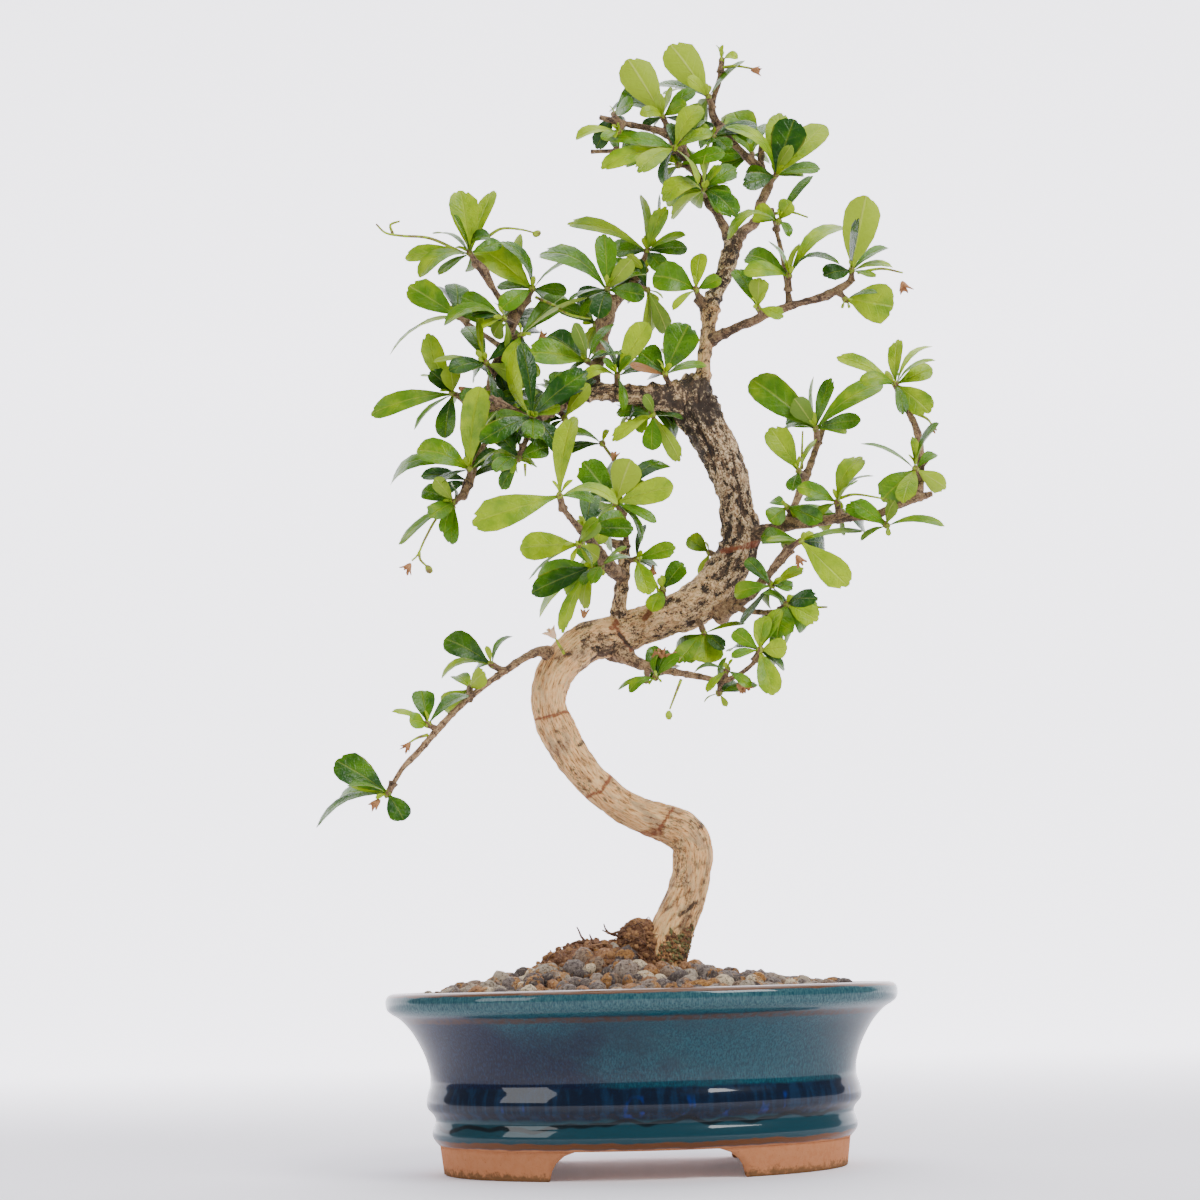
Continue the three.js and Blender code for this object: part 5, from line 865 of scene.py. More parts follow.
def glaze(settings):
    """Glaze by height: navy and dark teal with cobalt spots below, teal above, brown at the edges; bare clay foot."""
    nodes = Nodes("glaze_and_clay", coat_roughness=0.04, specular_ior_level=0.04)
    place = nodes.place()
    across, _, height = nodes.parts(place)
    cloud = nodes.noise(0.022, nodes.place(1, 1, 1.6), 4.0, 0.6)
    streak = nodes.noise(1.7, nodes.place(1, 1, 0.36), 3.0, 0.6)
    speck = nodes.noise(0.42, place, 4.0, 0.62)
    fine = nodes.noise(1.6, place, 3.0)
    drift = nodes.noise(0.1, nodes.place(1, 1, 0.15), 2.0, 0.5) - 0.5
    drops = nodes.noise(0.3, nodes.place(1, 1, 0.12), 3.0, 0.6)
    teal = nodes.mix(streak.ramp(0.28, 0.76), settings.glaze, (28, 78, 88))
    teal = nodes.mix(cloud.ramp(0.5, 0.62) * 0.5, teal, (34, 54, 64))
    navy = nodes.mix(streak.ramp(0.4, 0.8), settings.deep_glaze, (16, 36, 66))
    # The navy share also grows to the left: partly the glaze's own navy, partly a painted dark reflection on the left
    # of the wall
    share = (cloud * 2.6 - across / 50.0 - height / 26.0).ramp(-0.5, 0.6)
    color = nodes.mix(share, teal, navy)
    # Greyer and darker towards the right end of the oval: painted shade
    color = nodes.mix(across.ramp(40.0, 92.0) * 0.6, color, (32, 40, 48))
    band = (height + drift * 2.0).band(22.5, 33.5, 1.4)
    bands = nodes.mix(drops.ramp(0.42, 0.66), (7, 20, 38), (10, 36, 60))
    spots = nodes.noise(0.16, nodes.place(1, 1, 0.45), 2.0).ramp(0.6, 0.74)
    bands = nodes.mix(spots * height.band(25.0, 29.0, 3.0) * 0.8, bands, (20, 48, 124))
    color = nodes.mix(band, color, bands)
    color = nodes.mix((height + drift * 4.0).ramp(23.0, 21.4), color, (20, 56, 66))
    wavy = height + (nodes.noise(0.06, nodes.place(1, 1, 0.1), 1.0) - 0.5) * 10.0 - across / 40.0
    line = wavy.band(21.2, 21.9, 0.8) * height.ramp(26.0, 25.0) * 0.85
    color = nodes.mix(line, color, (6, 12, 16))
    lip = nodes.mix(streak.ramp(0.3, 0.74), (16, 58, 70), (60, 96, 98))
    color = nodes.mix(height.ramp(60.8, 62.6), color, lip)
    edge = (height + drift * 1.4).ramp(68.7, 69.3)
    color = nodes.mix(edge * 0.9, color, (98, 58, 30))
    under_lip = (height + drift * 1.6).band(59.2, 60.2, 1.0)
    color = nodes.mix(under_lip * speck.ramp(0.3, 0.6, 0.3, 0.85), color, (60, 34, 20))
    ends = (height + drift * 2.4).band(12.2, 13.6, 0.7)
    color = nodes.mix(ends, color, (96, 54, 18))
    bare = (height + drift * 1.6).ramp(11.2, 12.0, 1.0, 0.0)
    clay = nodes.mix(speck.ramp(0.35, 0.75) * 0.5, settings.foot, (172, 108, 72))
    clay = nodes.mix(fine.ramp(0.62, 0.74) * 0.5, clay, (122, 78, 54))
    clay = nodes.mix((height - speck * 9.0).ramp(-1.0, -3.6) * 0.75, clay, (92, 76, 50))
    color = nodes.mix(bare, color, clay)
    nodes.set("Coat Weight", bare.ramp(0.0, 1.0, 0.6, 0.0))
    nodes.bump(streak * 0.03 * (1.0 - bare) + fine * 0.5 * bare + cloud * 0.3, 0.6, 0.3)
    return nodes.finish(color, bare.ramp(0.0, 1.0, 0.3, 0.85))


def pebbles(settings):
    """Rough pebbles in brown greys, ochre and cream by the tint each holds, with ochre stains, pores and grains."""
    nodes = Nodes("pebbles", specular_ior_level=0.3)
    tint = nodes.attribute("tint")
    speck = nodes.noise(0.9, detail=5.0, roughness=0.8)
    stain = nodes.noise(0.16, detail=4.0, roughness=0.6)
    stops = (
        (0.14, 160, 142, 128), (0.3, 112, 100, 94), (0.42, 184, 168, 148), (0.54, 144, 120, 100),
        (0.66, 134, 122, 116), (0.78, 190, 136, 76), (0.86, 236, 214, 180), (0.94, 172, 124, 84),
    )
    color = (92, 82, 78)
    for start, *shade in stops:
        color = nodes.mix(tint.math("GREATER_THAN", start), color, tuple(shade))
    color = nodes.mix(stain.ramp(0.55, 0.62) * 0.8, color, (186, 130, 66))
    color = nodes.mix(speck.ramp(0.5, 0.6) * 0.8, color, (58, 46, 40))
    color = nodes.mix(speck.ramp(0.46, 0.34) * 0.6, color, (218, 200, 174))
    nodes.bump(speck, 1.4, 1.0)
    nodes.set("Roughness", settings.dullness)
    return nodes.finish(color)


def peat(settings):
    """Red-brown crumbs of peat, some ochre, with paler fibres in them."""
    nodes = Nodes("damp_peat", roughness=0.95)
    speck = nodes.noise(1.1, detail=5.0, roughness=0.75)
    crumb = nodes.mix(nodes.attribute("hairy").ramp(0.2, 1.0), settings.peat, (190, 140, 90))
    color = nodes.mix(speck.ramp(0.42, 0.64), crumb, (158, 116, 80))
    color = nodes.mix(speck.ramp(0.44, 0.3), color, (40, 26, 18))
    nodes.bump(speck, 1.4, 1.0)
    return nodes.finish(color)


def root_hair():
    """Fine roots, straw to brown."""
    nodes = Nodes("root_hair", roughness=0.8)
    return nodes.finish(nodes.mix(nodes.attribute("hairy"), (74, 48, 34), (160, 118, 78)))


# Two-tone finishes: roughness, cells to a millimetre, detail, the two colours, and the relief's depth and strength
TWO_TONES = {
    "withered_cup": (0.7, 1.1, 3.0, (108, 62, 34), (202, 144, 88), 0.4, 0.6),
    "flower": (0.6, 0.8, 3.0, (240, 176, 120), (255, 230, 190), 0.0, 0.0),
    "soil": (0.95, 0.9, 4.0, (34, 26, 22), (86, 68, 54), 1.2, 1.0),
    "moss": (0.95, 1.2, 3.0, (56, 56, 28), (140, 134, 84), 0.0, 0.0),
    "screen_plastic": (0.6, 0.8, 3.0, (30, 31, 32), (52, 53, 54), 0.0, 0.0),
}


def two_tone(name):
    """A finish whose noise goes from one colour to the other and, where it has a depth, lifts the surface."""
    roughness, cells, detail, first, second, depth, strength = TWO_TONES[name]
    nodes = Nodes(name, roughness=roughness)
    speck = nodes.noise(cells, detail=detail)
    if depth:
        nodes.bump(speck, depth, strength)
    return nodes.finish(nodes.mix(speck, first, second))


class Blade:
    """A leaf's own directions: along it, out of its face and to its side, turned to the eye and then up."""

    def __init__(self, base, tip, width, turn, arch, hand):
        self.base, self.width, self.arch, self.hand = base, width, arch, hand
        self.length = np.linalg.norm(tip - base)
        self.along = (tip - base) / self.length
        front = EYE - base
        front = unit(front - self.along * (front @ self.along))
        flank = np.cross(self.along, front)
        angle = math.radians(-turn if flank[2] < 0 else turn)
        self.face = front * math.cos(angle) + flank * math.sin(angle)
        self.side = np.cross(self.along, self.face)
        self.up = 1 if self.face[2] > -0.15 else -1

    def at(self, share, edge, lift):
        """base + along (start + (L - start) s) + face 4 a L s (1 - s) + side e w / 2 + normal lift."""
        share, edge, lift = (np.asarray(value, float)[..., None] for value in np.broadcast_arrays(share, edge, lift))
        normal = self.face - self.along * 4 * self.arch * (1 - 2 * share)
        normal /= np.linalg.norm(normal, axis=-1)[..., None]
        return (
            self.base
            + self.along * (LEAF_START + (self.length - LEAF_START) * share)
            + self.face * 4 * self.arch * self.length * share * (1 - share)
            + self.side * self.hand * edge * self.width / 2
            + normal * lift
        )


def fit_blade(base, leaf, hand, solid):
    """The blade at the first shift in depth at which the solids have one, or None where they left it out."""
    x, z, depth, width, turn, arch = leaf[:6]
    best, blade_there = MOST_AWAY, None
    share, edge = np.array(LEAF_OUTLINE)[1:].T
    for shift in LEAF_SHIFTS if solid else (0,):
        tip_depth = base[1] + depth + shift
        tip = behind(x, z, tip_depth)
        blade = Blade(base, tip, width * nearness(tip_depth), turn, arch, hand)
        if not solid:
            return blade
        corners = np.vstack([blade.at(share, edge, lift) for lift in (LEAF_THICK / 2, -LEAF_THICK / 2)])
        away = np.mean([solid.find_nearest(Vector(corner))[3] for corner in corners])
        if away < best:
            best, blade_there = away, blade
    return blade_there


def leaf_grid(notches, slim):
    """The rows and columns of a leaf: s (length share), e (edge share), with a tooth beside its round end."""
    along, half = np.array(LEAF_ROWS).T
    across, reach = np.array(LEAF_COLUMNS).T
    reach = reach - notches * np.array((0, 0.04, 0, 0, 0, 0.07, 0))
    share = along[:, None] * (1 + (reach[None] - 1) * along[:, None] ** 4)
    half = half - slim * np.array((0, 0.4, 1, 0.8, 0, 0, 0, 0))
    edge = half[:, None] * across[None]
    share[5, 6] += 0.045 * notches
    share[6, 5:] -= 0.025 * notches
    edge[6, 5:] *= 1 - 0.18 * notches
    edge[6, :2] *= 1 - 0.06 * notches
    return share, edge, np.broadcast_to(along[:, None], share.shape)


def add_leaf(shell, blade, youth, seed, thick):
    """A leaf folded along its midrib, with a wave in its edge: lift = w / 2 (f |e| + g sin(5 s + p) e^2)."""
    draw = np.random.default_rng(seed)
    share, edge, run = leaf_grid(draw.uniform(0, 1), draw.uniform(-0.1, 0.06))
    rows, columns = share.shape
    fold, wave, phase, dip = draw.uniform((0.05, 0.03, 0, -0.02), (0.24, 0.12, 6.3, 0.1))
    lift = fold * np.abs(edge) ** 1.3 + wave * np.sin(5 * share + phase) * edge**2 - dip * (share - 0.4) ** 2
    lift = (lift * blade.width / 2 + 0.1 * np.sin(9 * share + phase) * np.cos(6 * edge)) * blade.up
    rim = np.ones((rows, columns), bool)
    rim[1:-1, 1:-1] = False
    inner = thick * ~rim * blade.up
    top = blade.at(share, edge, lift + inner)
    bottom = blade.at(share, edge, lift - inner)[~rim]
    at = np.arange(rows * columns).reshape(rows, columns)
    under = at.copy()
    under[~rim] = rows * columns + np.arange(len(bottom))
    quads = [
        np.stack((grid[:-1, :-1], grid[1:, :-1], grid[1:, 1:], grid[:-1, 1:]), -1).reshape(-1, 4)
        for grid in (at, under)
    ]
    turned = blade.hand * blade.up > 0
    quads = [quads[0][:, ::-1] if turned else quads[0], quads[1] if turned else quads[1][:, ::-1]]
    names = {"across": np.array(LEAF_COLUMNS)[None, :, 0] + 0 * share, "run": run}
    values = {name: np.append(grid.ravel(), grid[~rim]) for name, grid in names.items()}
    values["rim"] = np.append(rim.ravel(), np.zeros(len(bottom)))
    kinds = np.repeat((0, 1), len(quads[0]))
    shell.add(
        np.vstack((top.reshape(-1, 3), bottom)), np.vstack(quads).tolist(), kinds,
        youth=youth, tone=draw.uniform(-1, 1), **values,
    )


def add_bud(shell, at, toward, youth, seed):
    """A pointed bud, with two or three leaflets that are still folded round it."""
    draw = np.random.default_rng(seed)
    along = unit(at - toward)
    turn = turned_to(along, (0.3, 1, 0.2))
    shell.add_ball(at, (1.5, 1.5, 1.9), 0.2, seed, 4, 8, turn, kinds=2, youth=youth, across=0.5, run=0.3)
    for k in range(draw.integers(2, 4)):
        heading = along + draw.uniform(-0.75, 0.75, 3) + (0, 0, 0.35)
        tip = at + unit(heading) * draw.uniform(4, 8)
        leaflet = Blade(at, tip, draw.uniform(1.6, 2.8), draw.uniform(0, 80), 0.12, 1 if k % 2 else -1)
        add_leaf(shell, leaflet, min(1.2, youth + 0.4), seed + k, 0.16)


def stream(seed):
    """Draws by seed s -> 48271 s mod (2^31 - 1), the same as the solids have."""
    state = [seed]

    def draw(low, high):
        state[0] = state[0] * 48271 % 2147483647
        return low + (high - low) * state[0] / 2147483647

    return draw


def fill_leaf(bud, draw):
    """A leaf by rule: its tip stands round the bud, more often behind it, and is named by where the eye sees it."""
    turn, rise, length = draw(0, 2 * math.pi), draw(-0.2, 0.9), draw(*FILL_LENGTH)
    heading = np.array((math.cos(turn), 0.5 + 0.5 * math.sin(turn), rise))
    tip = bud + unit(heading) * length
    on_plane = EYE + (tip - EYE) / nearness(tip[1])
    return on_plane[0], on_plane[2], tip[1] - bud[1], FILL_WIDTH * length, draw(10, 80), 0.1, 0.35


def within(x, z, outline):
    """Whether a place as seen lies in an outline, by counting the edges to its right."""
    ends = np.array(outline, float)
    (x0, z0), (x1, z1) = ends.T, np.roll(ends, -1, 0).T
    spans = (z0 > z) != (z1 > z)
    crossing = x0 + (z - z0) * (x1 - x0) / np.where(z1 == z0, 1, z1 - z0)
    return bool(np.count_nonzero(spans & (crossing > x)) % 2)


class Crowd:
    """What a further leaf keeps clear of: the points of the leaves so far, and the limbs with their radii."""

    def __init__(self, leaves):
        self.limbs = np.vstack([limb_path(points, 2) for points in (TRUNK, *LIMBS.values())])
        self.leaves, self.added = KDTree(len(leaves)), np.empty((0, 3))
        for number, point in enumerate(leaves):
            self.leaves.insert(point, number)
        self.leaves.balance()

    def clear(self, points):
        """Whether the points keep their clearance from every leaf and limb."""
        if min(self.leaves.find(point)[2] for point in points) < CLEARANCE:
            return False
        away = np.linalg.norm(points[:, None] - self.limbs[None, :, :3], axis=2) - self.limbs[:, 3]
        if away.min() < CLEARANCE:
            return False
        return not len(self.added) or np.linalg.norm(points[:, None] - self.added[None], axis=2).min() > CLEARANCE


def add_further(shell, bud, count, zone, crowd, draw):
    """Further leaves of a tuft, mostly behind it, whose tips are drawn until they are clear and in the zone."""
    for number in range(count):
        for _ in range(FURTHER_TRIES):
            heading = draw.normal(size=3) * (1, 0.7, 1) + (0, 0.45, 0.1)
            tip = bud + unit(heading) * draw.uniform(11, 21)
            width, turn, young = draw.uniform(0.36, 0.5), draw.uniform(0, 75), draw.uniform()
            width *= np.linalg.norm(tip - bud)
            blade = Blade(bud, tip, width, turn, draw.uniform(0.03, 0.16), 1 if number % 2 else -1)
            points = blade.at(*np.array(CLEAR_PLACES).T, 0)
            x, z = as_seen(tip[None])
            if within(x[0], z[0], zone) and crowd.clear(points):
                held = blade.at(np.linspace(0.3, 1, 7)[:, None], (-0.9, 0, 0.9), 0).reshape(-1, 3)
                crowd.added = np.vstack((crowd.added, held))
                add_leaf(shell, blade, 0.75 * young**1.6, int(draw.integers(10**6)), 0.2)
                break


def add_hidden_tufts(shell, crowd):
    """Tufts by rule on the limbs in the dense parts of the crown, mostly on their far side."""
    draw = np.random.default_rng(HIDDEN_SEED)
    for zone, tufts in DENSE_ZONES:
        x, z = as_seen(crowd.limbs[:, :3])
        inside = [i for i in range(len(x)) if within(x[i], z[i], zone) and crowd.limbs[i, 3] < 6]
        for i in draw.choice(inside, min(tufts, len(inside)), replace=False) if inside else ():
            away = draw.normal(size=3) + (0, 0.9, 0.3)
            bud = crowd.limbs[i, :3] + unit(away) * (crowd.limbs[i, 3] + draw.uniform(3.5, 6))
            if crowd.leaves.find(bud)[2] < 2.5:
                continue
            add_spur(shell, crowd.limbs[i, :3], bud, 3)
            add_bud(shell, bud, crowd.limbs[i, :3], 0.4, int(draw.integers(10**6)))
            add_further(shell, bud, HIDDEN_LEAVES, zone, crowd, draw)


def build_leaves(settings):
    """One piece for each tuft, with its leaves where the solids have them, and further ones in the dense parts."""
    draw = stream(FILL_SEED)
    materials = [leaf_top(settings), leaf_under(settings), bud_green(settings)]
    shells, small = {}, Shell()
    for number, (name, tuft) in enumerate({**TUFTS, **SMALL_TUFTS}.items()):
        start, bud, fill, leaves, *shoot = tuft
        start, bud = seen(start), seen(bud)
        young = np.mean([leaf[6] for leaf in leaves])
        grown = [(bud, start, [*leaves, *(fill_leaf(bud, draw) for _ in range(fill))])]
        solid, shell = None, small
        if name in TUFTS:
            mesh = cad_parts["leaves_" + name].data
            corners = [Vector(np.array(v.co) * MM - MIDDLE) for v in mesh.vertices]
            solid = BVHTree.FromPolygons(corners, [face.vertices for face in mesh.polygons])
            shell = shells[name] = Shell()
        if shoot:
            path = limb_path(shoot[0], 1.2)
            shell.add_tube(path, 8, kinds=2, youth=young, across=0.5, run=0.3)
            grown.append((path[-1, :3], bud, shoot[1]))
        for place, (base, origin, leaves) in enumerate(grown):
            seed = 1000 * number + 100 * place
            add_bud(shell, base, origin, young, seed + 50)
            for i, leaf in enumerate(leaves):
                blade = fit_blade(base, leaf, -1 if i % 2 else 1, solid)
                if blade:
                    add_leaf(shell, blade, leaf[6], seed + i, settings.thickness / 2 * MM)
    crowd = Crowd(np.vstack([points for shell in (small, *shells.values()) for points in shell.points]))
    further = np.random.default_rng(FURTHER_SEED)
    for name, shell in shells.items():
        bud = TUFTS[name][1]
        for zone, _ in DENSE_ZONES:
            if within(*bud[:2], zone):
                add_further(shell, seen(bud), FURTHER_LEAVES, zone, crowd, further)
        shell.piece("tuft_" + name, materials, "leaves_" + name, slot="leaves")
    add_hidden_tufts(small, crowd)
    small.piece("small_tufts", [*materials, bpy.data.materials["tree_bark"]], slot="leaves")


def near_marks(points, marks):
    """1, or a weaker mark's last number, on the marks, falling to 0 in a millimetre beside their lines as seen."""
    place = np.stack(as_seen(points), 1) + 0.5 * np.stack((noise(points, 2.5, 21), noise(points, 2.5, 22)), 1)
    mark = np.zeros(len(points))
    for x0, z0, x1, z1, half, *depth in marks:
        line = np.array((x1 - x0, z1 - z0))
        share = np.clip((place - (x0, z0)) @ line / (line @ line), 0, 1)
        away = np.linalg.norm(place - (x0, z0) - share[:, None] * line, axis=1)
        mark = np.maximum(mark, np.clip(1 + half - away, 0, 1) * (depth[0] if depth else 1))
    return mark


def skin_places(radius, sides, run):
    """Where a limb's noise is taken: r cos a, r sin a and the run along it."""
    angle = turns(sides)
    return np.stack(np.broadcast_arrays(radius * np.cos(angle), radius * np.sin(angle), run[:, None]), -1)


def add_limb(shell, points, sides, step, rough_at, relief, foot=0.0, knots=0.0):
    """A limb: a tube with fissures where their noise is near 0, and flakes that rise with theirs."""
    points = np.asarray(points, float)
    centres = seen(points[:, :3])
    radii = points[:, 3] * nearness(centres[:, 1])
    path = smooth_path(np.column_stack((centres, radii)), step)
    run = np.concatenate(((0,), np.cumsum(np.linalg.norm(np.diff(path[:, :3], axis=0), axis=1))))
    path[:, 3] *= 1 + foot * np.exp(-run / 3.5)
    z_seen = as_seen(path[:, :3])[1]
    rough = np.interp(z_seen, *rough_at)
    thick = path[:, 3].mean()
    flat = skin_places(thick, sides, run).reshape(-1, 3) + 40 * len(shell.points)
    rough_all = np.repeat(rough, sides)
    reach = np.repeat(path[:, 3], sides)
    fissure = 1 - np.abs(noise(flat / (1, 1, 3.4), 1.7, 3)) * 3
    fissure = np.clip(fissure, 0, 1) ** 2 * np.clip(0.7 + noise(flat, 7, 12), 0, 1)
    flake = np.clip(noise(flat / (1, 1, 1.4), 1.9, 5) * 2.2, -1, 1)
    grain = layered(flat / (1, 1, 2), 2.4, 8)
    swell = layered(flat / (1, 1, 2.2), 9, 2, 2)
    depth = np.minimum(relief, 0.12 * reach)
    node = np.exp(-(((run / 7.5 + 0.4 * np.sin(run / 6.1)) % 1 - 0.5) ** 2) / 0.013) * (thick < 4.2)
    push = (
        swell * 0.055 * reach * (1 + knots)
        + np.repeat(node, sides) * reach * (0.17 + 0.1 * noise(flat, 2.6, 17))
        - fissure * depth * (0.75 - 0.35 * rough_all)
        + flake * depth * (0.15 + 0.95 * rough_all)
        + grain * depth * 0.35
    )
    # Where the bark sinks, which the bark material darkens: partly the inner bark's colour, partly painted shade in
    # these hollows
    crack = np.clip(fissure * (1 - 0.4 * rough_all) + np.clip(-flake, 0, 1) * rough_all, 0, 1)
    crack = np.maximum(crack, 0.7 * np.repeat(node, sides) * (noise(flat, 2.1, 19) > -0.2))
    grid = (len(path), sides)
    shell.add_tube(
        path, sides, push.reshape(grid), rough=rough_all.reshape(grid), crack=crack.reshape(grid),
        grain=flat.reshape(*grid, 3), thin=np.full(grid, float(thick < 3)),
    )


def add_spur(shell, start, end, kind=0):
    """A spur from its limb to just under its bud, thicker at its foot and knobbly with old leaf scars."""
    share = np.array((0, 0.25, 0.6, 0.9))
    thick = SPUR_RADIUS * np.array((1.7, 1.25, 1, 1.1))
    path = smooth_path(np.column_stack((start + (end - start) * share[:, None], thick)), 1.2)
    sides = 10
    seeded = path[:, :3].sum() % 50
    place = skin_places(1, sides, path[:, 2] / 2)
    push = 0.35 * noise(place.reshape(-1, 3) + seeded, 0.9, 4).reshape(len(path), sides)
    shell.add_tube(
        path, sides, push, kinds=kind, rough=np.full(push.shape, 0.55), crack=np.clip(-3 * push, 0, 1),
        grain=place * 3 + seeded, thin=np.ones(push.shape), rust=0.0, dark=0.0,
    )


def build_wood(settings):
    """Trunk, limbs, twigs and spurs as one piece, with each mark on the bark, the painted shade among the dark ones
    too, held as values at its points.
    """
    shell = Shell()
    relief = settings.relief * MM
    add_limb(shell, TRUNK, 72, 0.8, ROUGHNESS["trunk"], relief, knots=0.6)
    for name, points in LIMBS.items():
        sides, step = (28, 0.9) if points[0][3] > STOUT else (14, 1.4)
        add_limb(shell, points, sides, step, ROUGHNESS.get(name, LIMB_ROUGHNESS), relief * 0.8, 0.35)
    for start, bud, *_ in (*TUFTS.values(), *SMALL_TUFTS.values()):
        add_spur(shell, seen(start), seen(bud))
    for points, values in zip(shell.points, shell.values):
        values["rust"], values["dark"] = near_marks(points, RUST_MARKS), near_marks(points, DARK_AND_SHADE_MARKS)
    shell.piece("bark_and_wood", [bark(settings)], "trunk_and_branches", slot="bark")


def build_stalks(settings):
    """What is left of the flowers: thin green stalks with withered cups, each cup five points round a ring."""
    shell = Shell()
    for points in GREEN_STALKS:
        shell.add_tube(limb_path(np.column_stack((points, np.linspace(0.75, 0.4, len(points)))), 1.5), 6)
    for number, (x, z, depth, direction, kind) in enumerate(CUPS):
        at = seen((x, z, depth))
        turn = turned_to(unit(np.array((math.cos(direction), -0.35, math.sin(direction)))), (0.2, 1, 0.1))
        if kind == 0:
            shell.add_ball(at, (1.5, 1.5, 1.9), 0.15, number, 4, 8, turn, kinds=0)
        else:
            add_cup(shell, at, turn, number, kind)
    materials = [stalk_green(settings), two_tone("withered_cup"), two_tone("flower")]
    shell.piece("flower_stalks", materials, slot="leaves")


def add_cup(shell, at, turn, seed, kind):
    """A cup: rings r = r0 (1 + l cos 5a) whose five lobes l grow to its edge, out and back in by its thickness."""
    draw = np.random.default_rng(CUP_SEED + seed)
    angle = turns(20)
    size = draw.uniform(0.85, 1.2)
    rings = (
        (0.5, -1.6, 0), (1, -0.8, 0.05), (1.4, 0.6, 0.15), (1.8, 1.9, 0.36), (1.6, 2, 0.36), (1.1, 0.9, 0.15),
        (0.6, 0, 0.05),
    )
    wilt = draw.uniform(-0.9, 0.9, 20)
    ring_points = []
    for radius, height, lobes in rings:
        reach = radius * (1 + lobes * np.cos(5 * angle)) * (1 + wilt * lobes)
        lift = height + lobes * 1.4 * np.cos(5 * angle) * np.where(kind == 2, 0.1, 1) + lobes * wilt * 2
        ring_points.append(np.stack((reach * np.cos(angle), reach * np.sin(angle), lift), -1))
    points = np.vstack((*ring_points, ((0, 0, -1.8), (0, 0, -0.4)))) * size
    shell.add(points @ turn + at, ring_faces(len(rings), 20), kinds=kind)


def oval(half, height, sides, wobble=0.0, narrower=POT_NARROWER):
    """An oval ring: x = h cos a, y = (h - narrower) sin a, a little out of true as a thrown and pressed pot is."""
    angle = turns(sides)
    half = half + wobble * (np.sin(2 * angle + 0.6) + 0.5 * np.sin(5 * angle + height / 9))
    height = np.broadcast_to(height, angle.shape)
    return np.stack((half * np.cos(angle), (half - narrower) * np.sin(angle), height), -1)


def loft(shell, rings, start, end, **values):
    """Rings of points joined by quads, and closed at a pole before the first and after the last."""
    rings = np.asarray(rings)
    shell.add(np.vstack((rings.reshape(-1, 3), start, end)), ring_faces(len(rings), rings.shape[1]), **values)


def foot_sector(shell, side):
    """Half of the foot: a C-shaped band between two ovals, from the ground into the pot's underside."""
    ends = ARCH_HALF - ARCH_CORNER
    layers = []
    for z in FOOT_HEIGHTS:
        open_half = ends + math.sqrt(max(ARCH_CORNER**2 - min(z, ARCH_CORNER) ** 2, 0.0))
        eased = 0.5 if z == 0 else 0.0
        outer_half = FOOT[0] + 1.5 * min(1, z / FOOT_TOP) - eased
        inner_half = FOOT[1] + eased
        rows = []
        for half in (outer_half, inner_half):
            start = math.acos(min(0.999, (open_half + eased) / half))
            angle = np.linspace(-start, start, 41)
            rows.append(np.stack((half * np.cos(angle), (half - POT_NARROWER) * np.sin(angle)), -1))
        ring = np.vstack((rows[0], rows[1][::-1]))
        layers.append(np.column_stack((ring, np.full(len(ring), z))))
    rings = np.asarray(layers)[::-1] * (side, side, 1)
    sides = rings.shape[1]
    faces = ring_faces(len(rings), sides, closed_ends=False)
    half = sides // 2
    for ring, turned in ((0, True), (len(rings) - 1, False)):
        first = ring * sides
        for k in range(half - 1):
            face = (first + k, first + k + 1, first + sides - 2 - k, first + sides - 1 - k)
            faces.append(face[::-1] if turned else face)
    shell.add(rings.reshape(-1, 3), faces, kinds=0)


def build_pot(settings):
    """The pot's glazed body on its bare foot, which is open in the middle of the front and the back."""
    shell = Shell()
    under = [(share * POT_OUTSIDE[0][0], FOOT_TOP) for share in (0.12, 0.5, 0.9)]
    floor = [(share * (POT_INSIDE[-1][0] - 26) + 26, POT_FLOOR) for share in (0.8, 0.3)]
    profile = [*under, *smooth_path(POT_OUTSIDE, 1.1).tolist(), *smooth_path(POT_INSIDE, 3).tolist(), *floor]
    rings = [oval(half, z, 192, 0.16 if z > 14 else 0, min(POT_NARROWER, 0.55 * half)) for half, z in profile]
    loft(shell, rings, (0, 0, FOOT_TOP), (0, 0, POT_FLOOR))
    for side in (1, -1):
        foot_sector(shell, side)
    piece = shell.piece("glazed_pot", [glaze(settings)], "pot", slot="glaze")
    for x in DRAINS:
        cut_drain(piece, x)


def cut_drain(piece, x):
    """Cuts a round drain through the pot's floor and leaves no modifier behind."""
    drill = Shell()
    low, high = FOOT_TOP - 3, POT_FLOOR + 4
    rings = [oval(DRAIN_RADIUS, z, 32, narrower=0) + (x, 0, 0) for z in (low, high)]
    loft(drill, rings, (x, 0, low), (x, 0, high))
    mesh = drill.mesh("drill")
    cutter = placed("drill", mesh)
    modifier = piece.modifiers.new("drain", "BOOLEAN")
    modifier.operation, modifier.solver, modifier.object = "DIFFERENCE", "EXACT", cutter
    done = bpy.data.meshes.new_from_object(piece.evaluated_get(bpy.context.evaluated_depsgraph_get()))
    piece.modifiers.clear()
    piece.data = done
    bpy.data.objects.remove(cutter)
    bpy.data.meshes.remove(mesh)


def heap_height(x, y):
    """The gravel's height: edge + top exp(-u^2 - v^2), with u and v from the heap's middle."""
    u = (x - HEAP_AT[0]) / HEAP_SPREAD[0]
    v = (y - HEAP_AT[1]) / HEAP_SPREAD[1]
    return GRAVEL_EDGE + HEAP_TOP * np.exp(-(u**2) - v**2)


def in_lump(x, y, lump, grow=0.0):
    """Whether a place lies over a lump of the root ball."""
    (cx, cy, _), (a, b, _) = lump
    return ((x - cx) / (a + grow)) ** 2 + ((y - cy) / (b + grow)) ** 2 < 1


def lump_height(x, y, lump):
    """The height of a lump's top over a place in it: z + c sqrt(1 - u^2 - v^2)."""
    (cx, cy, cz), (a, b, c) = lump
    return cz + c * math.sqrt(max(0.0, 1 - ((x - cx) / a) ** 2 - ((y - cy) / b) ** 2))


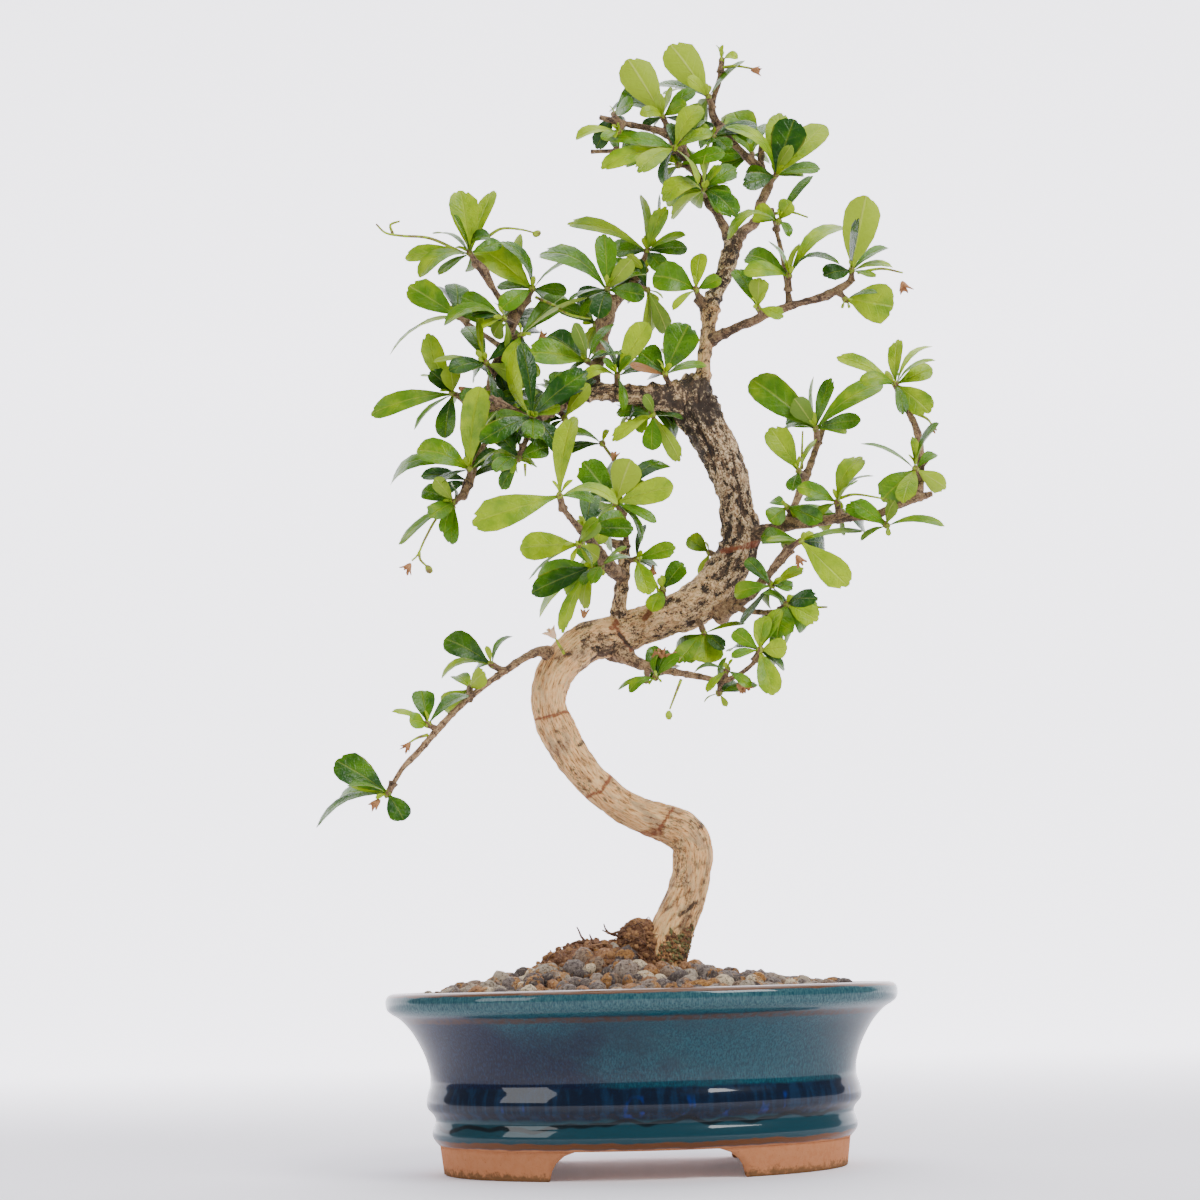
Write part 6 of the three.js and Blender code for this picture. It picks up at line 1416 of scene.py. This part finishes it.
def pebble_height(x, y):
    """How high a pebble lies, on the heap or the root ball, or None where the peat stays bare."""
    height = heap_height(x, y)
    if in_lump(x, y, ROOT_BALL, -PEAT_EDGE):
        over = lump_height(x, y, ROOT_BALL) - 1.5
        if y > 1 - 0.25 * abs(x + 12) or x < PEAT_LEFT or over > PEAT_ABOVE:
            return None
        return max(height, over)
    return height


def build_gravel(settings):
    """Pebbles on a jittered grid of staggered rows, in three coats, over a closed bed of soil."""
    shell = Shell()
    draw = np.random.default_rng(GRAVEL_SEED)
    rings = [oval(BED_HALF - 14, 40, 96), oval(BED_HALF - 8, 52, 96)]
    for share in (1, 0.9, 0.75, 0.55, 0.35, 0.15):
        ring = oval(BED_HALF * share, 0, 96, 0, POT_NARROWER * share)
        ring[:, 2] = heap_height(ring[:, 0], ring[:, 1]) - settings.sunk * MM
        ring[:, 2] += 0.8 * noise(ring, 5, 6)
        rings.append(ring)
    middle = heap_height(0, 0) - settings.sunk * MM
    loft(shell, rings, (0, 0, 40), (0, 0, middle), kinds=0, tint=0.0)
    small, large = settings.smallest / 2 * MM, settings.largest / 2 * MM
    pitch = settings.pitch * MM
    rise = pitch * math.sin(math.pi / 3)
    for coat, (drop, scale) in enumerate(GRAVEL_COATS):
        for row in GRAVEL_ROWS:
            for column in GRAVEL_COLUMNS:
                x = pitch * (column + (row % 2) / 2 + 0.33 * coat) + draw.uniform(-1.4, 1.4)
                y = rise * (row + 0.4 * coat) + draw.uniform(-1.4, 1.4)
                radius = draw.uniform(small, large) * scale
                shape = draw.uniform((0.9, 0.8, 0.65), (1.2, 1.1, 0.95))
                turn = np.linalg.qr(draw.normal(size=(3, 3)))[0]
                turn[0] *= np.sign(np.linalg.det(turn))
                tint, lift, kept = draw.uniform(0, 1), draw.uniform(-0.9, 0.9), draw.uniform()
                edge_x, edge_y = GRAVEL_FIELD[0] - radius, GRAVEL_FIELD[1] - radius
                if (x / edge_x) ** 2 + (y / edge_y) ** 2 > 1 or coat == 2 and kept > TOP_COAT_KEPT:
                    continue
                height = pebble_height(x, y)
                on_trunk = (x - TRUNK[0][0]) ** 2 + y**2 < (TRUNK[0][3] + radius) ** 2
                if height is None or on_trunk or in_lump(x, y, ROOT_CLUMP):
                    continue
                place = (x, y, height - drop + lift)
                shell.add_ball(place, shape * radius, 0.16, draw.integers(900), 5, 9, turn, kinds=1, tint=tint)
    shell.piece("gravel_top", [two_tone("soil"), pebbles(settings)], "gravel", slot="gravel")


def upward(draw):
    """A direction that points up or sideways."""
    angle, lift = draw.uniform(0, 2 * math.pi), draw.uniform(0.15, 1.4)
    return np.array((math.cos(angle) * math.cos(lift), math.sin(angle) * math.cos(lift), math.sin(lift)))


def build_root_ball(settings):
    """The lump of peat and roots at the trunk's foot, with root hairs and a little moss on it."""
    shell = Shell()
    draw = np.random.default_rng(ROOT_SEED)
    for number, (at, half) in enumerate((ROOT_BALL, ROOT_CLUMP)):
        shell.add_ball(at, half, 0, 0, 44, 72, kinds=0, hairy=0.0)
        points = shell.points[-1]
        out = (points - at) / np.asarray(half)
        swell = 0.07 * np.sin(5 * out[:, 0] + 2) * np.sin(4 * out[:, 1] + 1) * np.cos(6 * out[:, 2])
        swell += 0.05 * layered(points, 7, 3 + number) * min(1, 18 / half[0])
        crumb = 0.9 * noise(points, 1.6, 4) + 0.5 * noise(points, 0.8, 9)
        shell.points[-1] = points + out * swell[:, None] * half + out * crumb[:, None] * 0.7
    for k in range(CRUMBS_FOR_A_HAIR * settings.hairs):
        at, half = ROOT_CLUMP if k % 2 == 0 else ROOT_BALL
        out = upward(draw)
        size = draw.uniform(0.5, 1.6) * draw.uniform((0.7, 0.7, 0.6), (1.3, 1.3, 1.1))
        place = at + out * half * draw.uniform(0.95, 1.06)
        shell.add_ball(place, size, 0.4, draw.integers(900), 3, 6, kinds=0, hairy=draw.uniform())
    for points in ROOT_STUBS:
        path = limb_path(np.column_stack((points, np.linspace(0.3, 0.75, len(points)))), 1)
        path[:, :3] += 0.3 * np.stack([noise(path[:, :3], 1.5, 30 + k) for k in range(3)], 1)
        shell.add_tube(path, 6, kinds=1, hairy=0.15)
    for k in range(settings.hairs):
        at, half = ROOT_CLUMP if k % 3 == 0 else ROOT_BALL
        out = upward(draw)
        start = at + out * half * 0.99
        drift = draw.normal(size=3) + (0, 0, -0.25)
        drift = unit(drift - out * (drift @ out))
        length = draw.uniform(3, 9)
        share = np.linspace(0, 1, 5)[:, None]
        arc = 0.9 + draw.uniform(0, 1.6) * np.sin(math.pi * share)
        path = start + drift * length * (share - 0.5) + out * (arc - 2.2 * np.abs(share - 0.5) ** 2 * length / 9)
        path = path + draw.normal(scale=0.35, size=path.shape)
        thick = np.full(5, draw.uniform(0.15, 0.3))
        shell.add_tube(smooth_path(np.column_stack((path, thick)), 1.2), 5, kinds=1, hairy=draw.uniform())
    foot = limb_path(TRUNK[:6], 0.5)
    for _ in range(CRUMBS_ON_TRUNK):
        x, y, z, radius = foot[draw.integers(len(foot))]
        turn = draw.uniform(-2.4, 0.5)
        at = np.array((x, y, z)) + radius * draw.uniform(0.97, 1.05) * np.array((math.cos(turn), math.sin(turn), 0))
        size, kind, hairy = draw.uniform(0.35, 1.05, 3), 2 * int(draw.uniform() < 0.4), draw.uniform()
        x, z = as_seen(at[None])
        if noise(at[None], 2.4, 7)[0] > -0.25 and within(x[0], z[0], CRUMBS_AT):
            shell.add_ball(at, size, 0.4, draw.integers(900), 3, 6, kinds=kind, hairy=hairy)
    shell.piece("root_lump", [peat(settings), root_hair(), two_tone("moss")], "root_ball", slot="peat")


def area_light(name, place, aim, size, power):
    """A soft square lamp at a place, turned to its aim, in metres and watts."""
    lamp = bpy.data.lights.new(name, "AREA")
    lamp.shape, lamp.size, lamp.energy = "SQUARE", size, power
    made = placed(name, lamp)
    made.location = place
    made.rotation_euler = (Vector(aim) - Vector(place)).to_track_quat("-Z", "Y").to_euler()


def build_stage(settings):
    """A pale floor that turns up into a backdrop by a quarter round and glows as painted light, faint near the pot and
    full further back; soft lamps and the photo's camera.
    """
    floor = Nodes("floor", roughness=0.9, specular_ior_level=0.1, emission_strength=2.9 * settings.light)
    # The floor's glow, painted light: faint near the pot and full towards the back, where it brightens the backdrop and
    # lights the scene
    near = floor.parts(floor.place())[1].ramp(60.0, 1300.0, 0.04, 1.0)
    floor.set("Emission Color", floor.mix(near, (0, 0, 0), settings.floor))
    floor.set("Base Color", tuple(settings.floor))
    bend = np.linspace(0, math.pi / 2, 24)
    radius, back, half = 0.9, 1.1, 4.0
    y = np.concatenate(((-3.0,), back + radius * np.sin(bend), (back + radius,)))
    z = np.concatenate(((0.0,), radius - radius * np.cos(bend), (4.0,)))
    left, right = (np.column_stack((np.full(len(y), x), y, z)) for x in (-half, half))
    count = np.arange(len(y) - 1)
    mesh = bpy.data.meshes.new("floor")
    mesh.from_pydata(
        np.vstack((left, right)).tolist(), [],
        np.stack((count, count + len(y), count + len(y) + 1, count + 1), -1).tolist(),
    )
    mesh.materials.append(floor.material)
    mesh.shade_smooth()
    placed("floor", mesh)

    strength = settings.light
    aim = (0, 0, 0.22)
    area_light("key", (1.1, -1.2, 1.6), aim, 0.9, 42 * strength)
    area_light("fill", (-1.4, -1.1, 0.7), aim, 0.8, 10 * strength)
    area_light("top", (0.1, 0.2, 1.9), aim, 1.6, 24 * strength)
    world = bpy.data.worlds.new("studio")
    world.use_nodes = True
    backdrop = world.node_tree.nodes["Background"]
    backdrop.inputs["Color"].default_value = (*settings.floor, 1)
    backdrop.inputs["Strength"].default_value = 0.3 * strength
    bpy.context.scene.world = world

    lens = bpy.data.cameras.new("camera")
    lens.lens, lens.sensor_width = SENSOR * FOCAL / FRAME_WIDTH, SENSOR
    camera = placed("camera", lens)
    camera.location = (EYE + MIDDLE) / MM
    camera.rotation_mode = "XYZ"
    up = Matrix.Rotation(math.radians(90 + PITCH), 4, "X")
    camera.rotation_euler = (up @ Matrix.Rotation(math.radians(-ROLL), 4, "Z")).to_euler()
    bpy.context.scene.camera = camera


def shade_of(name, text, red, green, blue):
    """A colour that a user would change."""
    return bpy.props.FloatVectorProperty(
        name=name, description=text, subtype="COLOR", size=3, min=0, max=1, default=srgb(red, green, blue)
    )


def length_of(name, text, millimetres, largest):
    """A length that a user would change, given here in millimetres."""
    return bpy.props.FloatProperty(
        name=name, description=text, unit="LENGTH", precision=4, min=0, max=largest / MM, default=millimetres / MM
    )


class BONSAI_PG_wood(bpy.types.PropertyGroup):
    """Sizes and colours of the bark."""

    relief: length_of("Bark relief", "How deep the fissures and flakes of the bark go", 0.75, 3)
    trunk: shade_of("Smooth bark", "The pale bark of the lower trunk", 240, 168, 100)
    flakes: shade_of("Flaky bark", "The dark flakes of the upper trunk", 38, 28, 20)
    rust: shade_of("Rust", "The marks that the training wire left", 116, 54, 30)


class BONSAI_PG_leaves(bpy.types.PropertyGroup):
    """Sizes and colours of the leaves."""

    thickness: length_of("Leaf thickness", "The thickness in the middle of a leaf", 0.42, 1.5)
    young_leaf: shade_of("Young leaf", "The yellow-green of this year's leaves", 154, 180, 0)
    grown_leaf: shade_of("Grown leaf", "The green of leaves in their first season", 80, 124, 0)
    old_leaf: shade_of("Old leaf", "The dark green of last year's leaves", 28, 68, 12)


class BONSAI_PG_pot(bpy.types.PropertyGroup):
    """Colours of the pot."""

    glaze: shade_of("Glaze", "The teal of the pot's wall", 11, 48, 62)
    deep_glaze: shade_of("Deep glaze", "The navy where the glaze has run thick", 8, 15, 38)
    foot: shade_of("Bare clay", "The unglazed foot", 186, 126, 88)


class BONSAI_PG_soil(bpy.types.PropertyGroup):
    """Sizes and colours of the gravel and the root ball."""

    smallest: length_of("Smallest pebble", "Diameter of the smallest pebbles", 5.5, 20)
    largest: length_of("Largest pebble", "Diameter of the largest pebbles", 10.5, 20)
    pitch: length_of("Pebble spacing", "Distance between the middles of neighbouring pebbles", 8.2, 20)
    sunk: length_of("Soil depth", "How far the soil lies under the top of the gravel", 4, 20)
    dullness: bpy.props.FloatProperty(
        name="Pebble roughness", description="Roughness of the dry pebbles", min=0, max=1, default=0.85
    )
    hairs: bpy.props.IntProperty(
        name="Root hairs", description="How many fine roots show on the root ball", min=0, max=400, default=80
    )
    peat: shade_of("Peat", "The dark peat of the root ball", 112, 74, 50)


class BONSAI_PG_stage(bpy.types.PropertyGroup):
    """The floor and the light."""

    floor: shade_of("Floor", "The pale floor and backdrop", 238, 236, 243)
    light: bpy.props.FloatProperty(
        name="Light", description="Strength of the soft lights together", min=0, max=10, default=1
    )


class BONSAI_OT_pot(bpy.types.Operator):
    """Make the glazed pot with its foot and drains"""

    bl_idname = "bonsai.pot"
    bl_label = "Pot"

    def execute(self, context):
        build_pot(context.scene.bonsai_pot)
        return {"FINISHED"}


class BONSAI_OT_gravel(bpy.types.Operator):
    """Make the gravel that fills the pot"""

    bl_idname = "bonsai.gravel"
    bl_label = "Gravel"

    def execute(self, context):
        build_gravel(context.scene.bonsai_soil)
        return {"FINISHED"}


class BONSAI_OT_root_ball(bpy.types.Operator):
    """Make the root ball at the trunk's foot"""

    bl_idname = "bonsai.root_ball"
    bl_label = "Root ball"

    def execute(self, context):
        build_root_ball(context.scene.bonsai_soil)
        return {"FINISHED"}


class BONSAI_OT_screens(bpy.types.Operator):
    """Give the drain screens their plastic"""

    bl_idname = "bonsai.screens"
    bl_label = "Drain screens"

    def execute(self, context):
        plastic = two_tone("screen_plastic")
        for side in ("left", "right"):
            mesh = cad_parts["drain_screen_" + side].data
            mesh.materials.clear()
            mesh.materials.append(plastic)
        return {"FINISHED"}


class BONSAI_OT_wood(bpy.types.Operator):
    """Make the trunk, the branches and their bark"""

    bl_idname = "bonsai.wood"
    bl_label = "Trunk and branches"

    def execute(self, context):
        build_wood(context.scene.bonsai_wood)
        return {"FINISHED"}


class BONSAI_OT_leaves(bpy.types.Operator):
    """Make the leaves of every tuft"""

    bl_idname = "bonsai.leaves"
    bl_label = "Leaves"

    def execute(self, context):
        build_leaves(context.scene.bonsai_leaves)
        return {"FINISHED"}


class BONSAI_OT_stalks(bpy.types.Operator):
    """Make the flower stalks and withered cups"""

    bl_idname = "bonsai.stalks"
    bl_label = "Flower stalks"

    def execute(self, context):
        build_stalks(context.scene.bonsai_leaves)
        return {"FINISHED"}


class BONSAI_OT_stage(bpy.types.Operator):
    """Make the floor, the lights and the camera"""

    bl_idname = "bonsai.stage"
    bl_label = "Floor, light and camera"

    def execute(self, context):
        build_stage(context.scene.bonsai_stage)
        return {"FINISHED"}


OPERATORS = (
    BONSAI_OT_pot, BONSAI_OT_gravel, BONSAI_OT_root_ball, BONSAI_OT_screens, BONSAI_OT_wood, BONSAI_OT_leaves,
    BONSAI_OT_stalks, BONSAI_OT_stage,
)
GROUPS = {
    "wood": BONSAI_PG_wood, "leaves": BONSAI_PG_leaves, "pot": BONSAI_PG_pot, "soil": BONSAI_PG_soil,
    "stage": BONSAI_PG_stage,
}


class BONSAI_PT_panel(bpy.types.Panel):
    """Lists the sizes and colours, and the steps that make the bonsai"""

    bl_idname = "BONSAI_PT_panel"
    bl_label = "Fukien Tea Bonsai"
    bl_space_type = "VIEW_3D"
    bl_region_type = "UI"
    bl_category = "Bonsai"

    def draw(self, context):
        for key, group in GROUPS.items():
            box = self.layout.box()
            box.label(text=key.capitalize())
            for name in group.__annotations__:
                box.prop(getattr(context.scene, "bonsai_" + key), name)
        for operator in OPERATORS:
            self.layout.operator(operator.bl_idname)


def register():
    """Makes the classes and the groups of settings known."""
    for kind in (*GROUPS.values(), *OPERATORS, BONSAI_PT_panel):
        bpy.utils.register_class(kind)
    for key, group in GROUPS.items():
        setattr(bpy.types.Scene, "bonsai_" + key, bpy.props.PointerProperty(type=group))


def unregister():
    """Takes them away again."""
    for key in GROUPS:
        delattr(bpy.types.Scene, "bonsai_" + key)
    for kind in reversed((*GROUPS.values(), *OPERATORS, BONSAI_PT_panel)):
        bpy.utils.unregister_class(kind)


def main():
    """Makes every piece and the stage."""
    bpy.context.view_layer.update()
    register()
    for operator in OPERATORS:
        name = operator.bl_idname.split(".")[1]
        getattr(bpy.ops.bonsai, name)()


if __name__ == "__main__":
    main()
